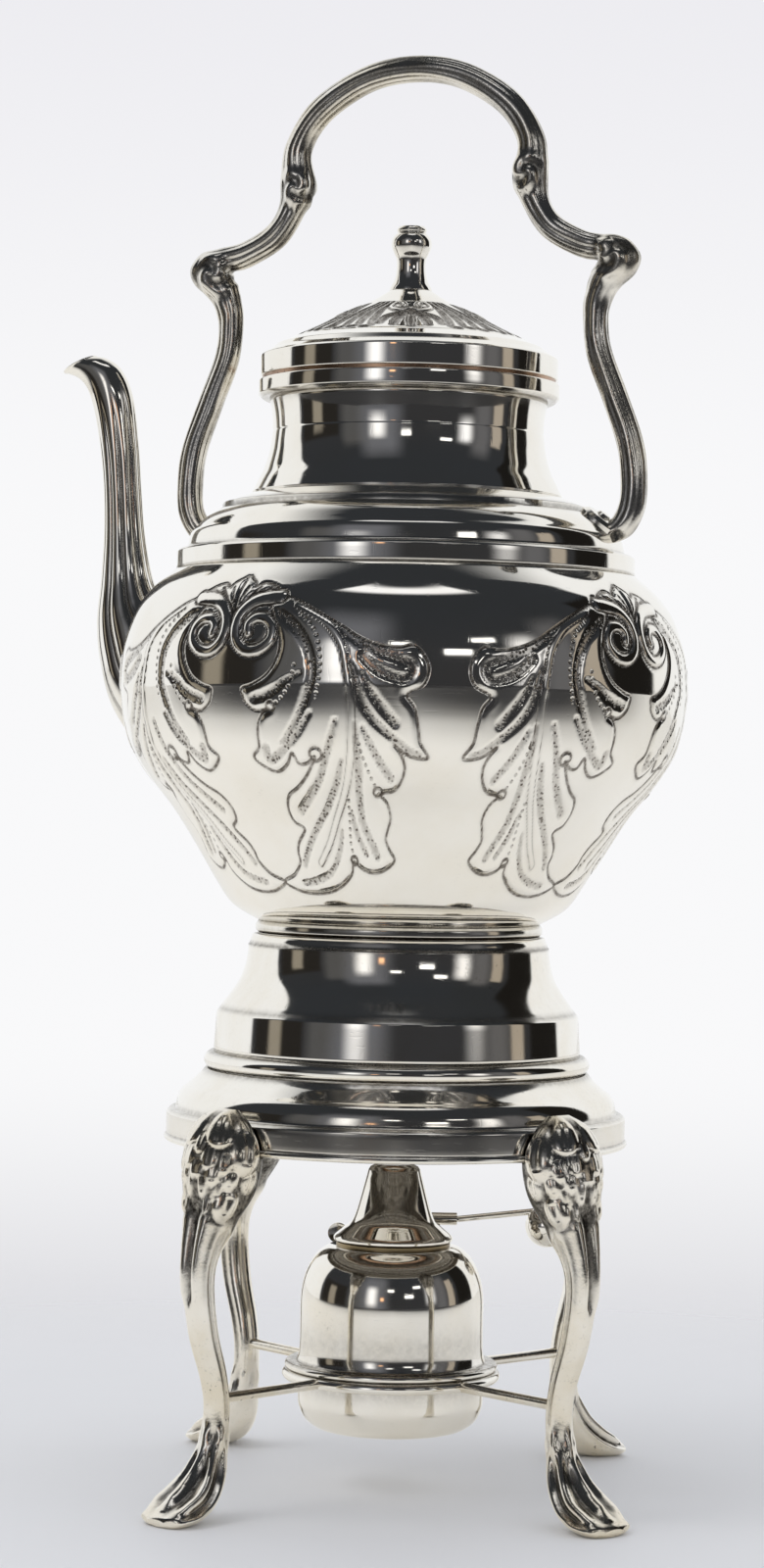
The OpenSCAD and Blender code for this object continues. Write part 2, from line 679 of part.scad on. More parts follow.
// The handle's rings: [outer edge, inner edge, half width] from the middle of the arch to the
// right end, measured from the axis and the shoulder band's top at the handle's drawn size
handle_rings = [
  [[0, 139.5], [0, 131.9], 4.2],
  [[16, 136.6], [13.2, 129.6], 3.9],
  [[30.3, 128], [25.1, 122.2], 3.9],
  [[38, 116.6], [30.6, 113.6], 4],
  [[39.6, 106], [29.3, 104.5], 4.4],
  [[39.9, 98.8], [32.6, 96.1], 3.8],
  [[43.6, 93], [38.6, 87.5], 3.8],
  [[51.1, 88.9], [47.9, 82.2], 3.8],
  [[58, 87.4], [54.6, 80.4], 4.2],
  [[63.2, 86], [54.2, 79.5], 4.6],
  [[66.6, 81.8], [53.6, 78.5], 4.8],
  [[65.4, 77], [52.9, 77.4], 4.7],
  [[61.2, 73.3], [52.1, 75.8], 4.2],
  [[58.6, 69.5], [51.2, 72.5], 3.8],
  [[57.6, 64.5], [50.4, 67.3], 3.6],
  [[58.4, 57.1], [51.4, 55.5], 3.6],
  [[62.9, 45.2], [56.1, 42.6], 3.7],
  [[67.7, 32.5], [60.5, 30.5], 3.8],
  [[69.5, 22.1], [61.9, 21.7], 3.8],
  [[69, 12], [61.7, 14], 3.8],
  [[65.6, 5.4], [59.4, 9.4], 3.9],
  [[60.3, 2.6], [56, 8.2], 3.6]
];
handle_drawn = [65.7, 135.7, 8.4];
function handle_ring(r) =
  let (f = [handle_w / handle_drawn[0], handle_h / handle_drawn[1], handle_bar_w / handle_drawn[2]],
       c = (r[0] + r[1]) / 2, d = (r[0] - r[1]) / 2 * f[2])
  [[c[0] * f[0] + d[0], c[1] * f[1] + d[1]], [c[0] * f[0] - d[0], c[1] * f[1] - d[1]], r[2] * f[2]];

// A solid bar through rings [outer edge, inner edge, half width] in the XZ plane
module bar_between(rings, sides) {
  s = sides;
  n = len(rings);
  points = [
    for (r = rings)
      let (c = (r[0] + r[1]) / 2, d = (r[0] - r[1]) / 2)
      for (k = [0 : s - 1])
        let (p = c + d * cos(360 * k / s)) [p[0], r[2] * sin(360 * k / s), p[1]]
  ];
  walls = [
    for (i = [0 : n - 2], k = [0 : s - 1])
      let (m = (k + 1) % s, a = i * s, b = (i + 1) * s)
      each [[a + k, a + m, b + m], [a + k, b + m, b + k]]
  ];
  caps = [[for (k = [s - 1 : -1 : 0]) k], [for (k = [0 : s - 1]) (n - 1) * s + k]];
  polyhedron(points, concat(walls, caps));
}

module handle() color(cast_silver) {
  right = [for (r = handle_rings) handle_ring(r)];
  left = [for (i = [len(right) - 1 : -1 : 1])
    let (r = right[i]) [[-r[0][0], r[0][1]], [-r[1][0], r[1][1]], r[2]]];
  turn_kettle() translate([0, 0, z_shoulder_dome])
    bar_between(smooth_rings(concat(left, right), 2), 10);
}

module handle_rosette(side) color(cast_silver) {
  seat_r = (shoulder_r + neck_foot_r) / 2 - 1.5;
  seat_z = lookup(seat_r, [for (p = reversed(shoulder_outline)) p]);
  turn_kettle() mirror([side, 0, 0]) difference() {
    translate([seat_r, 0, seat_z]) rotate([0, 38, 0]) rotate_extrude()
      polygon([[0, -3], [rosette_r, -3], [rosette_r, 0.6], [rosette_r * 0.8, 1.6],
        [rosette_r * 0.4, 1.9], [rosette_r * 0.3, 2.7], [0, 3]]);
    turned(concat([[0, z_shoulder]], shoulder_outline, [[0, z_neck]]));
  }
}

// Lid

lid_outline = concat(
  [[lid_r, z_lid], [lid_r, z_lid_dome - 0.5], [lid_r - 0.5, z_lid_dome], [lid_r - 2.6, z_lid_dome + 1.2]],
  smooth(fitted([lid_r - 4.2, z_lid_dome + 2.6], [finial_r, z_finial],
    [[0, 0], [0.17, 0.14], [0.39, 0.35], [0.55, 0.52], [0.73, 0.68], [0.84, 0.8], [1, 1]]), 2)
);

module lid_cover() color(silver) {
  inner = inset(lid_outline, lid_wall);
  last = len(inner) - 1;
  screw_r = finial_screw_d / 2;
  turned(concat(lid_outline,
    [[screw_r, z_finial], [screw_r, z_finial - lid_wall], [finial_r - 0.4, z_finial - lid_wall]],
    [for (i = [last - 1 : -1 : 2]) inner[i]],
    [[lid_r - lid_wall, z_lid_dome - 1], [lid_r - lid_wall, z_lid]]));
}

module lid_bezel() color(silver) {
  flange_edge = lid_r - 0.6;
  turned([[bezel_r - bezel_wall, z_bezel - bezel_depth], [bezel_r, z_bezel - bezel_depth],
    [bezel_r, z_bezel], [flange_edge, z_bezel], [flange_edge, z_lid], [bezel_r - bezel_wall, z_lid]]);
}

module finial() color(cast_silver) {
  screw_l = lid_wall + 5;
  body = smooth(fitted([0, z_finial], [finial_r, z_finial + finial_h],
    [[1, 0], [0.94, 0.06], [0.79, 0.16], [0.7, 0.27], [0.67, 0.4], [0.7, 0.5], [0.82, 0.59],
      [0.93, 0.69], [0.92, 0.78], [0.8, 0.86], [0.67, 0.9], [0.7, 0.95], [0.6, 1]]), 2);
  turned(concat([[0, z_finial - screw_l], [finial_screw_d / 2, z_finial - screw_l],
    [finial_screw_d / 2, z_finial]], body, [[0, z_finial + finial_h]]));
}

module finial_nut() color(brass) {
  nut_w = 3.4;
  nut_h = 2.2;
  translate([0, 0, z_finial - lid_wall - nut_h]) difference() {
    cylinder(r = nut_w, h = nut_h, $fn = 6);
    translate([0, 0, -1]) cylinder(d = finial_screw_d, h = nut_h + 2, $fn = 24);
  }
}

stand_flange();
collar_wire();
stand_collar();
collar_seat();
for (l = LEGS) leg(l[1]);
lamp_ring();
ring_rods();
lamp_cup();
lamp_dome();
burner_plate();
wick_tube();
wick();
hinge_bracket();
snuffer_cap();
snuffer_lug();
hinge_rod();
turn_knob();
kettle_foot();
kettle_bowl();
kettle_shoulder();
kettle_neck();
mouth_rim();
spout();
handle();
handle_rosette(1);  // handle_rosette_left
handle_rosette(0);  // handle_rosette_right
lid_cover();
lid_bezel();
finial();
finial_nut();
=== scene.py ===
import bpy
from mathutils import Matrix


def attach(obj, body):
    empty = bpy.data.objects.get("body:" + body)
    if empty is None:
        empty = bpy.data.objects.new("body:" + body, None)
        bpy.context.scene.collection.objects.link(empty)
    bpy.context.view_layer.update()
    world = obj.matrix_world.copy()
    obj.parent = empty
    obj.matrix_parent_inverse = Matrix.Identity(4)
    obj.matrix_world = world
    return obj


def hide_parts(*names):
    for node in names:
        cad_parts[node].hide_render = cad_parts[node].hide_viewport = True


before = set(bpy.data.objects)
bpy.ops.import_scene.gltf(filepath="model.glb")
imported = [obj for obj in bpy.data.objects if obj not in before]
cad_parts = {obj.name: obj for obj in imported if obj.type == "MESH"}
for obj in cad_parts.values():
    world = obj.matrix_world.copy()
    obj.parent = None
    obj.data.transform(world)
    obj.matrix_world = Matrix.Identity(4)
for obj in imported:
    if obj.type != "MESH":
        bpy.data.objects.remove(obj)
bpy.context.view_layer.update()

import math

import bmesh
import bpy
import numpy as np
from mathutils import Vector

mm = 0.001
scene = bpy.context.scene
scene.view_settings.view_transform = "Standard"


# Camera and stage

cameraValues = {"place": (-5.5, -1035, 196), "lens": 85, "frameHeight": 36, "roll": -1.07}

cameraData = bpy.data.cameras.new("camera")
cameraData.lens = cameraValues["lens"]
cameraData.sensor_fit = "VERTICAL"
cameraData.sensor_height = cameraValues["frameHeight"]
camera = bpy.data.objects.new("camera", cameraData)
camera.location = Vector(cameraValues["place"]) * mm
camera.rotation_euler = (math.radians(90), math.radians(cameraValues["roll"]), 0)
scene.collection.objects.link(camera)
scene.camera = camera


def newMaterial(name):
    material = bpy.data.materials.new(name)
    material.use_nodes = True
    tree = material.node_tree
    return material, tree, tree.nodes["Principled BSDF"]


def feed(tree, socket, value):
    if hasattr(value, "is_output"):
        tree.links.new(value, socket)
    else:
        socket.default_value = value


def addNode(tree, kind, settings=None, **inputs):
    # An input's key is its name, or i and its number
    node = tree.nodes.new(kind)
    for key, value in (settings or {}).items():
        setattr(node, key, value)
    for key, value in inputs.items():
        feed(tree, node.inputs[int(key[1:]) if key[1:].isdigit() else key], value)
    return node


def mathNode(tree, operation, a, b=0.0, clamp=False):
    return addNode(tree, "ShaderNodeMath", {"operation": operation, "use_clamp": clamp}, i0=a, i1=b).outputs[0]


def times(tree, a, b):
    return mathNode(tree, "MULTIPLY", a, b)


def plus(tree, a, b, clamp=False):
    return mathNode(tree, "ADD", a, b, clamp)


def minus(tree, a, b):
    return mathNode(tree, "SUBTRACT", a, b)


def rangeNode(tree, value, low, high, toLow=0.0, toHigh=1.0):
    node = addNode(tree, "ShaderNodeMapRange", {"interpolation_type": "SMOOTHSTEP"}, i0=value, i1=low, i2=high,
                   i3=toLow, i4=toHigh)
    return node.outputs[0]


def fallNode(tree, value, low, high):
    return rangeNode(tree, value, low, high, 1.0, 0.0)


def mixColour(tree, share, a, b):
    return addNode(tree, "ShaderNodeMix", {"data_type": "RGBA"}, Factor=share, i6=a, i7=b).outputs[2]


def objectPlace(tree):
    return addNode(tree, "ShaderNodeTexCoord").outputs["Object"]


def noiseNode(tree, place, scale, detail, roughness=0.5):
    return addNode(tree, "ShaderNodeTexNoise", Vector=place, Scale=scale, Detail=detail,
                   Roughness=roughness).outputs["Fac"]


# The studio that the silver reflects: a white sweep behind and below, a dark room with panels in front
studioValues = {
    "pale": (0.945, 0.945, 0.955, 1), "high": (0.84, 0.835, 0.87, 1), "floor": (0.70, 0.70, 0.73, 1),
    "room": (0.036, 0.036, 0.039, 1), "ceiling": (0.03, 0.033, 0.038, 1),
    "sweep": (0.95, 0.96, 0.97, 1), "diffuse": (0.86, 0.87, 0.89, 1),
    # degrees: the sweep's sides and top, its foot, and where the backdrop's tones change
    "sweepLeft": -104, "sweepRight": 120, "sweepTop": 62, "sweepSoft": 12, "sweepFoot": (-14, -9),
    "paleToHigh": (3, 14), "floorToPale": (-4, -9.5),
    "panels": [  # azimuth from the camera, elevation, colour, edge
        (-58, -36, -20, 30, (0.09, 0.09, 0.092, 1), 5),
        (-100, -62, -30, 20, (0.022, 0.02, 0.018, 1), 2),
        (-88, -78, -12, 16, (0.3, 0.27, 0.22, 1), 2),
        (-40, -8, -8, 40, (0.15, 0.155, 0.175, 1), 9),
        (-32, -21, 2, 24, (1.25, 1.25, 1.28, 1), 5),
        (45, 56, 4, 26, (1.15, 1.15, 1.18, 1), 5),
        (58, 74, -20, 34, (0.13, 0.13, 0.138, 1), 6),
        (76, 86, -8, 26, (0.42, 0.37, 0.31, 1), 1.5),
        (92, 121, -40, 46, (0.012, 0.011, 0.01, 1), 2),
        (16, 27, 12, 16, (2.2, 2.2, 2.2, 1), 1),
        (-6, 2, 20, 23, (2.2, 2.2, 2.2, 1), 1),
        (28, 38, 24, 27, (2.2, 2.2, 2.2, 1), 1),
        (-15, -11, 8, 12, (1.6, 0.9, 0.5, 1), 1),
        (-62, 62, 70, 80, (1.1, 1.11, 1.15, 1), 3),
    ],
}


def buildStudio():
    values = studioValues
    world = bpy.data.worlds.new("studio")
    scene.world = world
    world.use_nodes = True
    tree = world.node_tree
    background = tree.nodes["Background"]
    direction = addNode(tree, "ShaderNodeTexCoord").outputs["Generated"]
    parts = addNode(tree, "ShaderNodeSeparateXYZ", i0=direction).outputs
    azimuth = mathNode(tree, "ARCTAN2", parts[0], times(tree, parts[1], -1.0))
    elevation = mathNode(tree, "ARCSINE", parts[2])

    def ramp(angle, low, high, kind=rangeNode):
        return kind(tree, angle, math.radians(low), math.radians(high))

    def band(angle, low, high, edge):
        return times(tree, ramp(angle, low - edge, low + edge), ramp(angle, high - edge, high + edge, fallNode))

    def window(left, right, low, high, edge):
        return times(tree, band(azimuth, left, right, edge), band(elevation, low, high, edge))

    colour = mixColour(tree, rangeNode(tree, elevation, -0.2, 0.9), values["room"], values["ceiling"])
    for left, right, low, high, tone, edge in values["panels"]:
        colour = mixColour(tree, window(left, right, low, high, edge), colour, tone)
    front = window(values["sweepLeft"], values["sweepRight"], -90.1, 90.1, 1.5)
    top = ramp(elevation, values["sweepTop"] - values["sweepSoft"], values["sweepTop"] + values["sweepSoft"])
    behind = times(tree, minus(tree, 1.0, front), minus(tree, 1.0, top))
    for share in (behind, ramp(elevation, *values["sweepFoot"], fallNode)):
        colour = mixColour(tree, share, colour, values["sweep"])
    paths = addNode(tree, "ShaderNodeLightPath").outputs
    colour = mixColour(tree, paths["Is Diffuse Ray"], colour, values["diffuse"])
    backdrop = mixColour(tree, ramp(elevation, *values["paleToHigh"]), values["pale"], values["high"])
    backdrop = mixColour(tree, ramp(elevation, *values["floorToPale"]), backdrop, values["floor"])
    seen = mathNode(tree, "MAXIMUM", paths["Is Camera Ray"], paths["Is Transmission Ray"])
    tree.links.new(mixColour(tree, seen, colour, backdrop), background.inputs["Color"])
    tree.links.new(background.outputs[0], tree.nodes["World Output"].inputs["Surface"])


floorValues = {
    "size": 2.4, "colour": (0.76, 0.765, 0.79, 1), "light": (0.87, 0.88, 0.91, 1), "fadeFrom": 0.12, "fadeTo": 0.5,
    "mirrored": (0.97, 0.955, 0.92, 1), "dusk": (0.2, 1.3), "duskSide": 0.6,
}


def buildFloor():
    values = floorValues
    bm = bmesh.new()
    bmesh.ops.create_grid(bm, x_segments=8, y_segments=8, size=values["size"])
    mesh = bpy.data.meshes.new("floor")
    bm.to_mesh(mesh)
    bm.free()
    floor = bpy.data.objects.new("floor", mesh)
    scene.collection.objects.link(floor)
    material, tree, shader = newMaterial("paper")
    place = objectPlace(tree)
    distance = addNode(tree, "ShaderNodeVectorMath", {"operation": "LENGTH"}, i0=place).outputs["Value"]
    far = rangeNode(tree, distance, values["fadeFrom"], values["fadeTo"])
    grain = addNode(tree, "ShaderNodeTexNoise", Scale=60.0, Detail=4.0).outputs["Fac"]
    tone = mixColour(tree, times(tree, grain, 0.25), values["colour"], values["light"])
    paths = addNode(tree, "ShaderNodeLightPath").outputs
    # mirrored in the silver, the paper is warmer and falls into the dark towards the camera
    parts = addNode(tree, "ShaderNodeSeparateXYZ", i0=place).outputs
    towards = minus(tree, times(tree, mathNode(tree, "ABSOLUTE", parts[0]), values["duskSide"]), parts[1])
    mirrored = mixColour(tree, rangeNode(tree, towards, *values["dusk"]), values["mirrored"], studioValues["room"])
    tree.links.new(mixColour(tree, paths["Is Glossy Ray"], tone, mirrored), shader.inputs["Base Color"])
    shader.inputs["Roughness"].default_value = 0.6
    clear = addNode(tree, "ShaderNodeBsdfTransparent").outputs[0]
    shown = times(tree, far, paths["Is Camera Ray"])
    mix = addNode(tree, "ShaderNodeMixShader", i0=shown, i1=shader.outputs[0], i2=clear)
    tree.links.new(mix.outputs[0], tree.nodes["Material Output"].inputs["Surface"])
    mesh.materials.append(material)


def buildLamp(name, place, turn, size, power):
    data = bpy.data.lights.new(name, "AREA")
    data.shape = "RECTANGLE"
    data.size, data.size_y = size
    data.energy = power
    lamp = bpy.data.objects.new(name, data)
    lamp.location = place
    lamp.rotation_euler = [math.radians(a) for a in turn]
    lamp.visible_glossy = False
    scene.collection.objects.link(lamp)


buildStudio()
buildFloor()
buildLamp("softbox", (-0.9, -0.5, 1.5), (0, -35, 0), (0.9, 0.9), 5)
print("stage ready")


# Shared effects

def newGroup(name, inputs, outputs):
    group = bpy.data.node_groups.new(name, "ShaderNodeTree")
    for label, kind, value in inputs:
        socket = group.interface.new_socket(name=label, in_out="INPUT", socket_type=kind)
        socket.default_value = value
    for label, kind in outputs:
        group.interface.new_socket(name=label, in_out="OUTPUT", socket_type=kind)
    return group, group.nodes.new("NodeGroupInput").outputs, group.nodes.new("NodeGroupOutput").inputs


def floatSockets(**values):
    return [(label, "NodeSocketFloat", value) for label, value in values.items()]


def buildTarnish():
    group, given, result = newGroup("tarnish", floatSockets(Specks=0.5, Clouds=0.5, Soil=0.0, Size=1.0),
                                    [("Mask", "NodeSocketFloat"), ("Cloud", "NodeSocketFloat")])
    size = addNode(group, "ShaderNodeVectorMath", {"operation": "SCALE"}, i0=objectPlace(group),
                   Scale=given["Size"]).outputs[0]
    broad = noiseNode(group, size, 38.0, 5.0, 0.6)
    fine = noiseNode(group, size, 520.0, 6.0, 0.72)
    pits = noiseNode(group, size, 1500.0, 3.0, 0.6)
    patch = rangeNode(group, broad, 0.52, 0.72)
    speck = rangeNode(group, times(group, fine, pits), 0.31, 0.39)
    speckled = times(group, times(group, speck, given["Specks"]), plus(group, times(group, patch, 0.85), 0.15))
    soiledAndShaded = times(group, given["Soil"], rangeNode(group, fine, 0.3, 0.62, 0.55, 1.0))
    cloud = times(group, rangeNode(group, broad, 0.35, 0.7), given["Clouds"])
    group.links.new(plus(group, speckled, soiledAndShaded, True), result["Mask"])
    group.links.new(cloud, result["Cloud"])
    return group


handlingValues = {"wave": 0.0003, "scratch": -0.000003, "grain": 0.00008}


def buildHandling():
    group, given, result = newGroup("handling", floatSockets(Scratches=0.5, Waves=0.5, Grain=0.0),
                                    [("Height", "NodeSocketFloat")])
    place = objectPlace(group)
    lines = []
    for scale, turn, low in (((900.0, 900.0, 90.0), (0.3, 0.2, 0.0), 0.62),
                             ((120.0, 700.0, 900.0), (0.0, 0.5, 0.4), 0.64)):
        stretched = addNode(group, "ShaderNodeMapping", Vector=place, Scale=scale, Rotation=turn).outputs[0]
        lines.append(rangeNode(group, noiseNode(group, stretched, 1.0, 2.0), low, 0.7))
    height = plus(group, times(group, noiseNode(group, place, 22.0, 2.0, 0.4),
                               times(group, given["Waves"], handlingValues["wave"])),
                  times(group, plus(group, *lines), times(group, given["Scratches"], handlingValues["scratch"])))
    grain = times(group, noiseNode(group, place, 900.0, 5.0, 0.65),
                  times(group, given["Grain"], handlingValues["grain"]))
    group.links.new(plus(group, height, grain), result["Height"])
    return group


tarnish = buildTarnish()
handling = buildHandling()


def placeGroup(tree, group, **values):
    return addNode(tree, "ShaderNodeGroup", {"node_tree": group}, **values).outputs


def readAttribute(tree, name):
    return addNode(tree, "ShaderNodeAttribute", {"attribute_name": name}).outputs["Fac"]


silverValues = {
    "plate": {"bright": (0.90, 0.875, 0.82, 1), "warm": (0.80, 0.74, 0.62, 1), "dark": (0.10, 0.085, 0.07, 1),
              "specks": 0.35, "clouds": 0.5, "rough": 0.055, "waves": 0.25, "scratches": 0.6, "grain": 0.0},
    "cleanPlate": {"bright": (0.90, 0.875, 0.82, 1), "warm": (0.80, 0.74, 0.62, 1), "dark": (0.14, 0.12, 0.10, 1),
                   "specks": 0.12, "clouds": 0.3, "rough": 0.05, "waves": 0.2, "scratches": 0.7, "grain": 0.0},
    "cast": {"bright": (0.87, 0.84, 0.78, 1), "warm": (0.74, 0.67, 0.53, 1), "dark": (0.035, 0.03, 0.026, 1),
             "specks": 1.0, "clouds": 0.8, "rough": 0.09, "waves": 0.9, "scratches": 0.6, "grain": 0.6},
}


chaseMarks = {  # darkening (dirt in the cuts and painted shade) and depth (m) of each mark, and the pitch of the beads (mm)
    "line": (0.85, 0.00015), "bead": (0.55, 0.00015), "pecked": (0.8, 0.0001), "pitch": 1.9,
}


def finishMetal(tree, shader, colour, rough, height):
    tree.links.new(colour, shader.inputs["Base Color"])
    tree.links.new(rough, shader.inputs["Roughness"])
    shader.inputs["Metallic"].default_value = 1.0
    bump = addNode(tree, "ShaderNodeBump", Distance=1.0, Strength=1.0, Height=height)
    tree.links.new(bump.outputs[0], shader.inputs["Normal"])


def chasedMarks(tree):
    line = fallNode(tree, readAttribute(tree, "chase"), 0.12, 0.62)
    across = readAttribute(tree, "beadAcross")
    step = mathNode(tree, "FRACT", mathNode(tree, "DIVIDE", readAttribute(tree, "beadAlong"), chaseMarks["pitch"]))
    step = times(tree, minus(tree, step, 0.5), chaseMarks["pitch"])
    reach = mathNode(tree, "SQRT", plus(tree, times(tree, step, step), times(tree, across, across)))
    punch = addNode(tree, "ShaderNodeTexVoronoi", Vector=objectPlace(tree), Scale=950.0,
                    Randomness=0.8).outputs["Distance"]
    pecked = times(tree, fallNode(tree, punch, 0.1, 0.5), readAttribute(tree, "stipple"))
    return {"line": line, "bead": fallNode(tree, reach, 0.25, 0.75), "pecked": pecked}


def silverMaterial(name, values, chased=False):
    material, tree, shader = newMaterial(name)
    soil = readAttribute(tree, "soil")
    height = placeGroup(tree, handling, Scratches=values["scratches"], Waves=values["waves"],
                        Grain=values["grain"])["Height"]
    if chased:
        # the chased marks are darkened: dirt in the cuts, and painted shade along the lines
        for kind, mark in chasedMarks(tree).items():
            share, depth = chaseMarks[kind]
            soil = plus(tree, soil, times(tree, mark, share), True)
            height = minus(tree, height, times(tree, mark, depth))
    marks = placeGroup(tree, tarnish, Specks=values["specks"], Clouds=values["clouds"], Soil=soil)
    colour = mixColour(tree, marks["Cloud"], values["bright"], values["warm"])
    colour = mixColour(tree, marks["Mask"], colour, values["dark"])
    rough = plus(tree, values["rough"], times(tree, marks["Cloud"], 0.06))
    rough = plus(tree, rough, times(tree, marks["Mask"], 0.3))
    finishMetal(tree, shader, colour, rough, height)
    return material


def plainMetal(name, bright, dark, rough, specks):
    material, tree, shader = newMaterial(name)
    marks = placeGroup(tree, tarnish, Specks=specks, Clouds=0.8, Soil=readAttribute(tree, "soil"))
    colour = mixColour(tree, plus(tree, marks["Mask"], times(tree, marks["Cloud"], 0.5), True), bright, dark)
    rough = plus(tree, rough, times(tree, marks["Mask"], 0.25))
    finishMetal(tree, shader, colour, rough, placeGroup(tree, handling, Scratches=1.0, Waves=0.2, Grain=0.3)["Height"])
    return material


def cottonMaterial():
    material, tree, shader = newMaterial("wickCotton")
    place = addNode(tree, "ShaderNodeMapping", Vector=objectPlace(tree), Scale=(900.0, 900.0, 450.0)).outputs[0]
    plait = addNode(tree, "ShaderNodeTexVoronoi", Vector=place, Scale=1.0).outputs["Distance"]
    tree.links.new(mixColour(tree, plait, (0.86, 0.83, 0.74, 1), (0.35, 0.31, 0.25, 1)), shader.inputs["Base Color"])
    shader.inputs["Roughness"].default_value = 0.9
    bump = addNode(tree, "ShaderNodeBump", Distance=0.001, Strength=1.0, Height=plait)
    tree.links.new(bump.outputs[0], shader.inputs["Normal"])
    return material


silverPlate = silverMaterial("silverPlate", silverValues["plate"])
cleanPlate = silverMaterial("cleanSilverPlate", silverValues["cleanPlate"])
chasedPlate = silverMaterial("chasedSilverPlate", silverValues["cleanPlate"], chased=True)
castSilver = silverMaterial("castSilverPlate", silverValues["cast"])
bareCopper = plainMetal("bareCopper", (0.55, 0.36, 0.24, 1), (0.14, 0.09, 0.07, 1), 0.25, 0.8)
# the brass is darkened as painted shade: on the burner plate it stands for the black shadow line under the snuffer
brassDarkForShade = plainMetal("brassDarkForShade", (0.36, 0.28, 0.16, 1), (0.10, 0.075, 0.05, 1), 0.35, 0.8)
cotton = cottonMaterial()
print("materials ready")


# Lines and outlines

def smoothLine(points, steps):
    p = np.array(points, float)
    n = len(p)
    out = []
    for i in range(n - 1):
        a, b, c, d = p[max(i - 1, 0)], p[i], p[i + 1], p[min(i + 2, n - 1)]
        for k in range(steps):
            t = k / steps
            out.append((2 * b + (c - a) * t + (2 * a - 5 * b + 4 * c - d) * t * t
                        + (3 * b - a - 3 * c + d) * t ** 3) / 2)
    out.append(p[-1])
    return [tuple(q) for q in out]


def fitted(a, b, shares):
    return [(a[0] + (b[0] - a[0]) * s, a[1] + (b[1] - a[1]) * t) for s, t in shares]


def evenLine(points, step):
    # The same line at even steps, ends kept
    p = np.array(points, float)
    lengths = np.r_[0, np.cumsum(np.linalg.norm(np.diff(p, axis=0), axis=1))]
    n = max(2, int(round(lengths[-1] / step)) + 1)
    at = np.linspace(0, lengths[-1], n)
    return np.stack([np.interp(at, lengths, p[:, k]) for k in range(p.shape[1])], axis=1)


def rounded(corners):
    # A closed outline of (radius, height, rounding) with small arcs at its corners
    out = []
    n = len(corners)
    for i, (r, z, fillet) in enumerate(corners):
        p = np.array([r, z], float)
        if fillet <= 0:
            out.append(tuple(p))
            continue
        a = np.array(corners[i - 1][:2], float) - p
        b = np.array(corners[(i + 1) % n][:2], float) - p
        la, lb = np.linalg.norm(a), np.linalg.norm(b)
        a, b = a / la, b / lb
        half = math.acos(max(-1, min(1, float(a @ b)))) / 2
        reach = min(fillet / max(math.tan(half), 1e-3), la * 0.45, lb * 0.45)
        for k in range(5):
            t = k / 4
            out.append(tuple(p + a * reach * (1 - t) ** 2 + b * reach * t ** 2))
    return out


def filled(points, step):
    # Adds points where an outline's steps are long
    out = []
    n = len(points)
    for i in range(n):
        a, b = np.array(points[i]), np.array(points[(i + 1) % n])
        cuts = max(1, int(math.ceil(np.linalg.norm(b - a) / step)))
        out += [tuple(a + (b - a) * k / cuts) for k in range(cuts)]
    return out


def insetLine(points, wall):
    # The wall's inner line, from its top back to its foot, with its ends level with the outline's
    p = np.array(points, float)
    tangent = np.gradient(p, axis=0)
    tangent /= np.linalg.norm(tangent, axis=1)[:, None]
    q = p - wall * np.stack([tangent[:, 1], -tangent[:, 0]], axis=1)
    q[0] = (p[0][0] - wall, p[0][1])
    q[-1] = (p[-1][0] - wall, p[-1][1])
    return [tuple(v) for v in q[::-1]]


def sharp(points):
    return [(r, z, 0.0) for r, z in points]


def eased(points, fillet, places):
    return [(r, z, fillet if i in places else 0) for i, (r, z) in enumerate(points)]


def arcLine(r, z, radius, start, end, step):
    return [(r + radius * math.cos(a), z + radius * math.sin(a)) for a in np.radians(np.arange(start, end + 1, step))]


# Meshes

def finishPiece(name, bm, material, body, nodes):
    mesh = bpy.data.meshes.new(name)
    bm.to_mesh(mesh)
    bm.free()
    mesh.polygons.foreach_set("use_smooth", [True] * len(mesh.polygons))
    piece = bpy.data.objects.new(name, mesh)
    scene.collection.objects.link(piece)
    mesh.materials.append(material)
    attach(piece, body)
    if nodes:
        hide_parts(*nodes)
    return piece


def spinOutline(outline, segments, start=0.0, angle=math.tau):
    whole = angle == math.tau
    bm = bmesh.new()
    verts = [bm.verts.new((r * mm * math.cos(start), r * mm * math.sin(start), z * mm)) for r, z in outline]
    loop = zip(verts, verts[1:] + verts[:1])
    edges = [bm.edges.new(pair) for pair in loop if whole or any(end.co.xy.length for end in pair)]
    bmesh.ops.spin(bm, geom=verts + edges, cent=(0, 0, 0), axis=(0, 0, 1), dvec=(0, 0, 0),
                   angle=angle, steps=segments, use_merge=whole, use_duplicate=False)
    bmesh.ops.remove_doubles(bm, verts=bm.verts, dist=1e-6)
    bmesh.ops.recalc_face_normals(bm, faces=bm.faces)
    return bm


def setAttribute(mesh, name, values):
    attribute = mesh.attributes.get(name) or mesh.attributes.new(name, "FLOAT", "POINT")
    attribute.data.foreach_set("value", np.asarray(values, np.float32))


def readPoints(mesh):
    co = np.zeros(len(mesh.vertices) * 3, np.float32)
    mesh.vertices.foreach_get("co", co)
    return co.reshape(-1, 3).astype(float) / mm


def writePoints(mesh, points):
    mesh.vertices.foreach_set("co", (points * mm).astype(np.float32).ravel())
    mesh.update()


